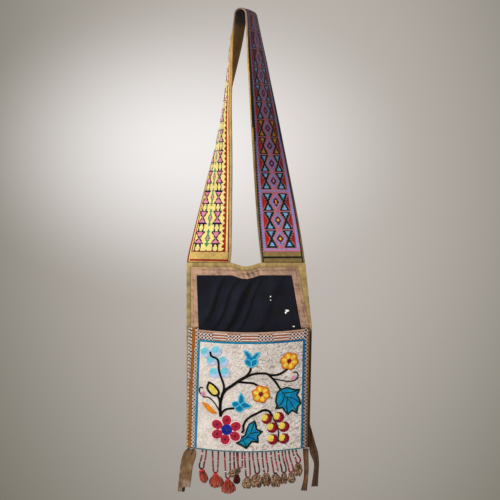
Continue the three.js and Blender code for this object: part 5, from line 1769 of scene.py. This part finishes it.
def inset(outline, margin):
    """An outline drawn in by a margin along its corners' mean directions."""
    p = np.asarray(outline, float)
    before, after = unit(p - np.roll(p, 1, 0)), unit(np.roll(p, -1, 0) - p)
    area = np.sum(p[:, 0] * np.roll(p, -1, 0)[:, 1] - np.roll(p, -1, 0)[:, 0] * p[:, 1])
    turn = np.sign(area)
    inward = turn * np.stack([-(before + after)[:, 1], (before + after)[:, 0]], -1) / 2
    share = np.clip((inward ** 2).sum(-1, keepdims=True), 0.35, 1)
    return p + margin * inward / share


def beside(line, offset):
    """A line moved sideways by an offset."""
    d = unit(np.gradient(line, axis=0))
    return line + offset * np.stack([-d[:, 1], d[:, 0]], -1)


class PlantRows(BeadRows):
    """Rows of beads drawn on the pocket in the units of the plant's drawing."""

    def __init__(self, seed):
        """No beads yet; the seed is for their colours."""
        super().__init__()
        self.seed = seed

    def draw(self, line, paint, lift=0.0, keep=None, wide=1.15 * ROW):
        """A row of beads along a line. paint is a colour's name or gives names by place; keep drops beads."""
        line = np.asarray(line, float)
        count = max(1, round(line_length(line) / BEAD_STEP))
        stations = spaced(line, 2 * count + 1)
        middles = stations[1::2]
        kept = np.ones(count, bool) if keep is None else keep(middles)
        if not kept.any():
            return
        names = paint(middles) if callable(paint) else np.full(count, paint)
        self.seed += 1
        tint = painted(np.asarray(names), 0.08, self.seed)
        x, h = panel_place(stations[:, 0] / DESIGN_W, (stations[:, 1] + DESIGN_TOP) / DESIGN_H)
        scale = line_length(np.stack([x, h], -1)) / line_length(line)
        tall = MOTIF_T + 0.4 * MM
        centre = bag_point(x, pocket_y(x, h) - RAISE - MOTIF_T + tall / 2 - lift, h)
        normal = pocket_normal(x, h)
        edges = np.flatnonzero(np.diff(np.concatenate([[0], kept.astype(int), [0]])))
        for first, stop in edges.reshape(-1, 2):
            part = slice(2 * first, 2 * stop + 1)
            self.add(centre[part], normal[part], tint[first:stop], wide * scale, tall)

    def disc(self, centre, radius, paint, lift=0.0, shape=None, keep=None):
        """Rings of beads about a centre."""
        for r in np.arange(radius - ROW / 2, 0.3, -ROW):
            self.draw(circle(centre, r, shape=shape), paint, lift, keep)
        half = np.array([BEAD_STEP / 2, 0])
        self.draw([np.array(centre) - half, np.array(centre) + half], paint, lift, keep)

    def fill(self, outline, paint, angle, margin):
        """Straight rows across an outline, kept where they lie deeper inside it than a margin."""
        p = np.asarray(outline, float)
        along_row = np.array([np.cos(angle), np.sin(angle)])
        over = np.array([-along_row[1], along_row[0]])
        a, b = p @ along_row, p @ over
        for k in np.arange(b.min() + ROW / 2, b.max(), ROW):
            ends = np.array([[a.min()], [a.max()]]) * along_row + k * over
            self.draw(ends, paint, keep=lambda spots: depth_in(spots, p) > margin)

    def stem(self, points, rows, lift=0.0, keep=None, paint="stem", wide=STEM_BEAD):
        """Rows of beads side by side along a smooth line."""
        flat = np.column_stack([np.asarray(points, float), np.zeros(len(points))])
        line = catmull(flat, 12 * len(points))[:, :2]
        for offset in STEM_OFFSETS[rows]:
            self.draw(beside(line, offset), paint, lift, keep, wide)

    def finish_as(self, node_name, slot):
        """The rows as a piece that stands for a node."""
        piece = self.piece("sewn_" + node_name, finish("glass_beads"))
        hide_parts(node_name)


def clear_of_motifs(spots):
    """Where a stem shows: outside every leaf, flower and berry."""
    outlines = [LEAF_RIGHT, LEAF_LOWER, TULIP, BELL, ORANGE_LEAF]
    outlines += [circle(centre, FLOWER_R, 36, scallop)[:-1] for centre in ORANGE_FLOWERS.values()]
    outlines += [circle(centre, PETAL_R, 20)[:-1] for centre in PETALS]
    return np.all([depth_in(spots, outline) < -0.2 for outline in outlines], axis=0)


class BAG_OT_plant(bpy.types.Operator):
    """Sews the flowers, leaves, berries and stems on the bead ground."""

    bl_idname = "bag.plant"
    bl_label = "Plant"

    def execute(self, context):
        self.leaf("leaf_right", LEAF_RIGHT, LEAF_RIGHT_VEINS, -0.8, 200)
        self.leaf("leaf_lower", LEAF_LOWER, LEAF_LOWER_VEINS, -0.8, 300)
        self.blue_flower("tulip", TULIP, TULIP_LINES, 1.2, 400)
        self.blue_flower("bell_flower", BELL, BELL_LINES, 1.0, 500)
        leaf = PlantRows(600)
        leaf.draw(closed(inset(ORANGE_LEAF, ROW / 2)), "orange")
        leaf.fill(ORANGE_LEAF, "orange", 0.6, ROW)
        leaf.finish_as("orange_leaf", "beads_orange")
        for k, (name, centre) in enumerate(ORANGE_FLOWERS.items()):
            self.orange_flower(name, centre, 700 + 100 * k)
        self.red_flower()
        self.berries("blue_berries", BLUE_BERRIES, BLUE_BERRY_R, BLUE_STALK, 2, self.blue_berry,
                     "beads_pale_blue", 1000)
        self.berries("red_berries", RED_BERRIES, RED_BERRY_R, RED_STALK, 1, self.red_berry, "beads_red", 1200)
        self.vine()
        lower = PlantRows(1500)
        lower.stem(LOWER_STEM, 2, keep=clear_of_motifs)
        lower.finish_as("lower_stem", "beads_black")
        return {"FINISHED"}

    def leaf(self, name, outline, veins, angle, seed):
        """A blue leaf with a dark outline and raised veins."""
        def paint(spots):
            """Light and plain blue by a mottle."""
            return np.where(mottle(*spots.T, 9, seed) > 0.25, "leaf_light", "leaf")

        rows = PlantRows(seed)
        for margin in (-0.3, 0.55):
            rows.draw(closed(inset(outline, margin)), "leaf_edge")
        rows.fill(outline, paint, angle, 1.1)
        for vein in veins:
            rows.stem(vein, 1, 0.5 * MM, lambda spots: depth_in(spots, outline) > 0.3, "leaf_edge", VEIN_BEAD)
        rows.finish_as(name, "beads_leaf_blue")

    def blue_flower(self, name, outline, lines, angle, seed):
        """A blue flower with a light outline and light lines between its petals."""
        rows = PlantRows(seed)
        rows.draw(closed(inset(outline, ROW / 3)), "cyan", lift=0.2 * MM, wide=1.4)
        rows.fill(outline, "flower_blue", angle, ROW)
        for line in lines:
            rows.draw(line, "cyan", lift=0.4 * MM, wide=1.2)
        rows.finish_as(name, "beads_sky_blue")

    def orange_flower(self, name, centre, seed):
        """Rings of orange with six yellow petals and a crimson centre."""
        def paint(spots):
            """Yellow within an ellipse in each of six directions, a dark rim, a crimson middle."""
            off = spots - np.array(centre)
            r, turn = away_from(spots, centre), np.arctan2(off[:, 1], off[:, 0])
            lobe = np.abs(((turn - PETAL_TURN) / (np.pi / 3) + 0.5) % 1 - 0.5) * np.pi / 3
            petal = ((r - 5.1) / 2.6) ** 2 + (r * np.sin(lobe) / 1.65) ** 2 < 1
            rim = np.where(r > FLOWER_R * scallop(turn) - ROW, "orange_edge", "orange")
            return np.where(r < 2.3, "crimson", np.where(petal, "petal_yellow", rim))

        rows = PlantRows(seed)
        rows.disc(centre, FLOWER_R, paint, shape=scallop)
        rows.finish_as(name, "beads_orange")

    def red_flower(self):
        """Six red petals with pale outlines around a royal blue centre."""
        rows = PlantRows(900)

        def outside_centre(spots):
            """Spots beyond the radius of the centre."""
            return away_from(spots, RED_CENTRE) > CENTRE_R + 0.2

        for petal in PETALS:
            lean = np.arctan2(petal[1] - RED_CENTRE[1], petal[0] - RED_CENTRE[0])

            def long_petal(turn, lean=lean):
                """A circle drawn out away from the flower's centre."""
                return 0.92 + 0.14 * np.cos(turn - lean) ** 2

            def between(spots, petal=petal):
                """Spots beyond the radius of the other petals and of the centre."""
                apart = [away_from(spots, other) > PETAL_R - 0.2 for other in PETALS if other != petal]
                return np.all(apart, axis=0) & outside_centre(spots)

            def paint(spots, petal=petal):
                """Red with a crimson dot in the middle."""
                return np.where(away_from(spots, petal) < 1, "crimson", "petal_red")

            rows.disc(petal, PETAL_R, paint, shape=long_petal, keep=outside_centre)
            rim = circle(petal, PETAL_R + ROW / 2, shape=long_petal)
            rows.draw(rim, "petal_edge", 0.2 * MM, between, 1.3)
        rows.disc(RED_CENTRE, CENTRE_R, "royal")
        rows.finish_as("red_flower", "beads_red")

    @staticmethod
    def blue_berry(centre):
        """Turquoise towards the upper left, pale below."""
        def paint(spots):
            """Turquoise within a circle about the lit side."""
            lit = away_from(spots - np.array(centre), (-1.6, -1.9)) < 4
            return np.where(lit, "turquoise", "pale_blue")
        return paint

    @staticmethod
    def red_berry(centre):
        """A yellow patch at the upper left of a crimson berry."""
        def paint(spots):
            """Rings by the distance from the middle, yellow within a circle about the lit side."""
            lit = away_from(spots - np.array(centre), (-2.4, -1.3)) < 3.3
            shade = np.where(away_from(spots, centre) % 2.4 < 1.7, "crimson", "petal_red")
            return np.where(lit, "petal_yellow", shade)
        return paint

    def berries(self, name, berries, radius, stalk, stalk_rows, paint, slot, seed):
        """A cluster of round berries along a dark stalk."""
        rows = PlantRows(seed)
        for k, centre in enumerate(berries):
            def keep(spots, earlier=berries[:k]):
                """Spots beyond the radius of the berries before."""
                apart = [away_from(spots, other) > radius + 0.4 for other in earlier]
                return np.all(apart, axis=0) if apart else np.ones(len(spots), bool)

            rows.disc(centre, radius, paint(centre), keep=keep)
        rows.stem(stalk, stalk_rows, lift=0.6 * MM)
        rows.finish_as(name, slot)

    def vine(self):
        """Stems and tendrils, with a yellow leaf and two pink buds."""
        rows = PlantRows(1400)
        leaf = np.array(YELLOW_LEAF)

        def stem_shows(spots):
            """Spots clear of the motifs and of the yellow leaf."""
            return clear_of_motifs(spots) & (depth_in(spots, leaf) < 0.2)

        for points, count in VINE:
            rows.stem(points, count, keep=stem_shows)
        for margin in (-0.6, 0.2):
            rows.stem(closed(inset(leaf, margin)), 1)
        rows.fill(leaf, "petal_yellow", 0.9, 0.8)
        for bud in BUDS:
            rows.disc(bud, BUD_R, "bud", lift=0.3 * MM)
        rows.finish_as("vine", "beads_black")


# Ribbons. Rows: place across and drop from the lower corner, stand forward, width.
RIBBONS = {
    "left_ribbon_front": [(6, 0, 0, 9), (3.5, 8, -4, 20), (-1.5, 20, -6, 28), (-7, 40, -4, 26),
                          (-9, 60, -2, 24), (-10.5, 80, -3, 22), (-11.5, 92, -2, 21)],
    "left_ribbon_back": [(-4, 0, 1.6, 6), (-9, 10, 6, 14), (-14, 28, 7, 17), (-17, 50, 6, 18),
                         (-20, 76, 7, 17.5), (-23, 105, 6, 17)],
    "right_ribbon_inner": [(-9, 0, 0, 14.6), (-8.6, 20, -3, 12.4), (-7.4, 46, -4, 11.4), (-8.6, 72, -3, 11),
                           (-12, 92, -4, 13.4), (-13.6, 101, -3, 15)],
    "right_ribbon_outer": [(-2, -56, 3.6, 2), (-2.4, -30, 3.6, 10.4), (-1.4, -8, 3.6, 16), (1.5, 14, 3, 19.5),
                           (10.6, 38, 1, 12.6), (9, 64, 2, 13), (4.4, 94, 1, 16)],
}
RIBBON_STEPS = 70
RIBBON_COLUMNS = 11
# Darker tones of the two right ribbons, as shares of the ribbon's colour
INNER_TONE = np.array([0.58, 0.45, 0.39])
OUTER_TONE = np.array([0.33, 0.26, 0.16])


class BAG_OT_ribbons(bpy.types.Operator):
    """Hangs the brown ribbons from the lower corners."""

    bl_idname = "bag.ribbons"
    bl_label = "Ribbons"

    def execute(self, context):
        for k, (name, rows) in enumerate(RIBBONS.items()):
            self.ribbon(name, np.array(rows) * MM, name.startswith("left"), 80 + k)
        return {"FINISHED"}

    def ribbon(self, name, rows, left, seed):
        """A strip across a hanging line, crowned across its width, with creases that fade at its ends."""
        corner = left_x(BAG_H) + BINDING_LEFT_W if left else right_x(BAG_H)
        sewn_low = rows[0, 1] >= 0
        inner = corner + rows[0, 0] + (1 if left else -1) * rows[0, 3] / 2
        base = hem_h(inner) + CLEAR if sewn_low else BAG_H
        foot = np.minimum(BAG_H + rows[:, 1], BAG_H)
        corners = left_x(foot) + BINDING_LEFT_W if left else right_x(foot)
        line = catmull(np.stack([corners + rows[:, 0], rows[:, 2], z_at(base + rows[:, 1])], -1),
                       RIBBON_STEPS)
        t = np.linspace(0, 1, RIBBON_STEPS)
        half = along(np.stack([np.linspace(0, 1, len(rows)), rows[:, 3]], -1), t)[:, None] / 2
        k = np.linspace(-1, 1, RIBBON_COLUMNS)[None]
        x = line[:, [0]] + half * k + (0 if sewn_low else half)
        rng = np.random.default_rng(seed)
        run = line[:, [2]] + 0 * k
        gather = np.exp(-t * 5)[:, None] * np.sin(np.pi * (1.6 * k + 0.3)) * np.minimum(half / (14 * MM), 1)
        crease = mottle(x * 0.5, run, 16 * MM, seed) * np.sin(np.pi * t)[:, None]
        y = line[:, [1]] + 0.8 * MM * (1 - k ** 2) + 1.1 * MM * gather
        y = y + np.clip(0.4 * MM * crease, -MM / 2, MM / 2)
        z = run.copy()
        z[-1] += rng.uniform(-1.2, 1.2, RIBBON_COLUMNS) * MM
        front = np.stack([x, y - RIBBON_T / 2, z], -1)
        back = np.stack([x, y + RIBBON_T / 2, z], -1)
        tint = varied(tone("ribbon"), cells_of(x), 0.05, seed)
        # Worn places: the left ribbons take the wear colour there, the right ones turn a little lighter.
        tone_shift = smooth(mottle(x, run, 30 * MM, seed + 7) + t[:, None], 0.5, 1.6)[:-1, :-1, None]
        if left:
            tint = lerp(tint, tone("wear"), 0.55 * tone_shift)
        else:
            tint = tint * (INNER_TONE if sewn_low else OUTER_TONE) * (0.9 + 0.2 * tone_shift)
            # Painted shade across the right ribbons: the inner one darker towards its edges, the outer one
            # dark down its middle.
            band = 0.3 * np.cos(2.8 * k) if sewn_low else 0.3 - 0.75 * np.exp(-((k - 0.05) / 0.4) ** 2)
            tint = tint * (1 + band[:, :-1, None]) * lerp(1, 0.7, smooth(t, 0.5, 1))[:-1, None, None]
        lengthwise = mottle(x, run * 0.15, 6 * MM, seed + 9)
        # Painted shade: dark in the gathers near the top, lighter and darker along the creases and in
        # lengthwise streaks; the strip is also darker near its top.
        shade = 1 - 0.7 * np.clip(gather, 0, 1) + 0.12 * crease + 0.14 * lengthwise
        tint = tint * shade[:-1, :-1, None] * lerp(0.7, 1, smooth(t, 0, 0.18))[:-1, None, None]
        # Painted shade along both edges.
        tint[:, [0, -1]] *= 0.8
        if name == "left_ribbon_front":
            # A slit near the top is painted dark as shadow.
            tint[3:18, 4:6] *= 0.3
        if name == "left_ribbon_back":
            tint[-12:, 6:] = tone("black")
        piece = slab_piece("hung_" + name, front, back, finish("ribbon"), np.clip(tint, 0, 1))
        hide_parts(name)
        line_length(line)


# Stage
# Oval fades of the backdrop: direction of the middle and radius, each across and up, and the fade's limits
SKY_FADES = {"wall": ((0.0067, 0.0272), (0.6, 0.6), (0.35, 0.6)),
             "wall_mid": ((0.0067, 0.0272), (0.187, 0.274), (0.0, 1.0)),
             "wall_glow": ((-0.0228, 0.0376), (0.0883, 0.0604), (0.0, 1.0))}
SKY_WHITE = (1, 0.985, 0.96, 1)
FLOOR_FADE = (0.02, 0.45)
FLOOR_GRID = (24, 96)
FLOOR_R = 4.2
LAMPS = {"key": ((-2.4, -2.8, 1.4), 1.3), "fill": ((2.4, -2.8, -0.1), 2.6), "rear": ((-1.2, 3.2, 0.6), 2.6)}
LAMP_TARGET = (0, 0, -0.6)
REAR_SHARE = 0.3


def oval_fade(tree, space, middle, scale, limits):
    """A smooth fade in the given coordinates: full in the middle of an oval, none at its rim."""
    place = node(tree, "ShaderNodeTexCoord", space)
    spot = node(tree, "ShaderNodeMapping", "Vector", {"Vector": place, "Location": middle, "Scale": scale})
    away = node(tree, "ShaderNodeTexGradient", "Fac", {"Vector": spot}, gradient_type="SPHERICAL")
    return node(tree, "ShaderNodeMapRange", "Result",
                {"Value": away, "From Min": limits[0], "From Max": limits[1]},
                interpolation_type="SMOOTHSTEP")


class BAG_OT_stage(bpy.types.Operator):
    """Sets up the pale floor, the backdrop and the soft light."""

    bl_idname = "bag.stage"
    bl_label = "Stage"

    def execute(self, context):
        stage = context.scene.bag_stage
        context.scene.view_settings.view_transform = "Standard"
        self.backdrop(context.scene, stage)
        self.floor(context.scene, stage)
        shares = {"key": stage.key_share, "fill": stage.fill_share, "rear": REAR_SHARE}
        for name, (spot, size) in LAMPS.items():
            self.lamp(context.scene, name, Vector(spot), size, shares[name])
        return {"FINISHED"}

    def backdrop(self, scene, stage):
        """Even light from all sides; the camera sees a grey wall with a glow on it."""
        world = bpy.data.worlds.new("studio")
        world.use_nodes = True
        tree = world.node_tree
        light = tree.nodes["Background"]
        feed(tree, light, {"Color": SKY_WHITE, "Strength": stage.sky_share})
        seen = (*stage.room, 1)
        for name, ((x, z), (wide, tall), limits) in SKY_FADES.items():
            fade = oval_fade(tree, "Generated", (-x / wide, 0, -z / tall), (1 / wide, 0, 1 / tall), limits)
            seen = node(tree, "ShaderNodeMix", "Result",
                        {"Factor": fade, "A": seen, "B": (*getattr(stage, name), 1)}, data_type="RGBA")
        wall = node(tree, "ShaderNodeBackground", "Background", {"Color": seen, "Strength": 1.0})
        rays = tree.nodes.new("ShaderNodeLightPath").outputs
        looks = rays["Is Camera Ray"]
        for kind in ("Is Glossy Ray", "Is Transmission Ray"):
            looks = node(tree, "ShaderNodeMath", "Value", {0: looks, 1: rays[kind]}, operation="MAXIMUM")
        both = node(tree, "ShaderNodeMixShader", "Shader",
                    {"Fac": looks, 1: light.outputs["Background"], 2: wall})
        feed(tree, tree.nodes["World Output"], {"Surface": both})
        scene.world = world

    def floor(self, scene, stage):
        """A round pale floor that fades out towards its rim."""
        rings, sides = FLOOR_GRID
        turn = np.linspace(0, 2 * np.pi, sides, endpoint=False)
        radius = np.linspace(0.02, FLOOR_R, rings)
        points = np.stack([np.outer(radius, np.cos(turn)), np.outer(radius, np.sin(turn)),
                           np.full(FLOOR_GRID, FLOOR_Z)], -1).reshape(-1, 3)
        faces = quad_grid(rings, sides, closed=True)[:, ::-1].tolist()
        mesh = bpy.data.meshes.new("floor")
        mesh.from_pydata(points.tolist(), [], [*faces, list(range(sides))])
        mesh.update()
        ground = bpy.data.objects.new("floor", mesh)
        scene.collection.objects.link(ground)
        paper, tree, shader = new_finish("floor_paper")
        feed(tree, shader, {"Base Color": (*stage.floor, 1), "Roughness": 0.9})
        fade = oval_fade(tree, "Object", (0, 0, 0), (1 / FLOOR_R, 1 / FLOOR_R, 0), FLOOR_FADE)
        clear = node(tree, "ShaderNodeBsdfTransparent", "BSDF")
        both = node(tree, "ShaderNodeMixShader", "Shader", {"Fac": fade, 1: clear, 2: shader.outputs["BSDF"]})
        feed(tree, tree.nodes["Material Output"], {"Surface": both})
        mesh.materials.append(paper)

    def lamp(self, scene, name, spot, size, share):
        """A square soft lamp. A share of 1 would light a white face to full white on its own."""
        data = bpy.data.lights.new(name, "AREA")
        reach = Vector(LAMP_TARGET) - spot
        data.size = size
        data.energy = share * np.pi ** 2 * reach.length_squared
        lamp = bpy.data.objects.new(name, data)
        lamp.location = spot
        lamp.rotation_euler = reach.to_track_quat("-Z", "Y").to_euler()
        scene.collection.objects.link(lamp)


OPERATORS = (BAG_OT_camera, BAG_OT_fringe, BAG_OT_strap_cloth, BAG_OT_strap_beadwork, BAG_OT_bag_cloth,
             BAG_OT_pocket_beadwork, BAG_OT_plant, BAG_OT_ribbons, BAG_OT_stage)


class BAG_PT_panel(bpy.types.Panel):
    """Lists the bag's pieces, sizes and colours."""

    bl_label = "Beaded Bag"
    bl_idname = "BAG_PT_panel"
    bl_space_type = "VIEW_3D"
    bl_region_type = "UI"
    bl_category = "Bag"

    def draw(self, context):
        """A button for each operator and a box for each group of settings."""
        for operator in OPERATORS:
            self.layout.operator(operator.bl_idname)
        for group in (context.scene.bag_sizes, context.scene.bag_stage, context.scene.bag_colours):
            box = self.layout.box()
            for key in group.__annotations__:
                box.prop(group, key)


CLASSES = (BagColours, BagSizes, BagStage, *OPERATORS, BAG_PT_panel)


def register():
    """Registers the classes and gives every scene the bag's settings."""
    for made in CLASSES:
        bpy.utils.register_class(made)
    bpy.types.Scene.bag_colours = bpy.props.PointerProperty(type=BagColours)
    bpy.types.Scene.bag_sizes = bpy.props.PointerProperty(type=BagSizes)
    bpy.types.Scene.bag_stage = bpy.props.PointerProperty(type=BagStage)


def unregister():
    """Takes the settings and the classes away again."""
    del bpy.types.Scene.bag_stage
    del bpy.types.Scene.bag_sizes
    del bpy.types.Scene.bag_colours
    for made in reversed(CLASSES):
        bpy.utils.unregister_class(made)


def main():
    """Builds every piece in order."""
    register()
    bpy.ops.bag.camera()
    bpy.ops.bag.fringe()
    bpy.ops.bag.strap_cloth()
    bpy.ops.bag.strap_beadwork()
    bpy.ops.bag.bag_cloth()
    bpy.ops.bag.pocket_beadwork()
    bpy.ops.bag.plant()
    bpy.ops.bag.ribbons()
    bpy.ops.bag.stage()


if __name__ == "__main__":
    main()
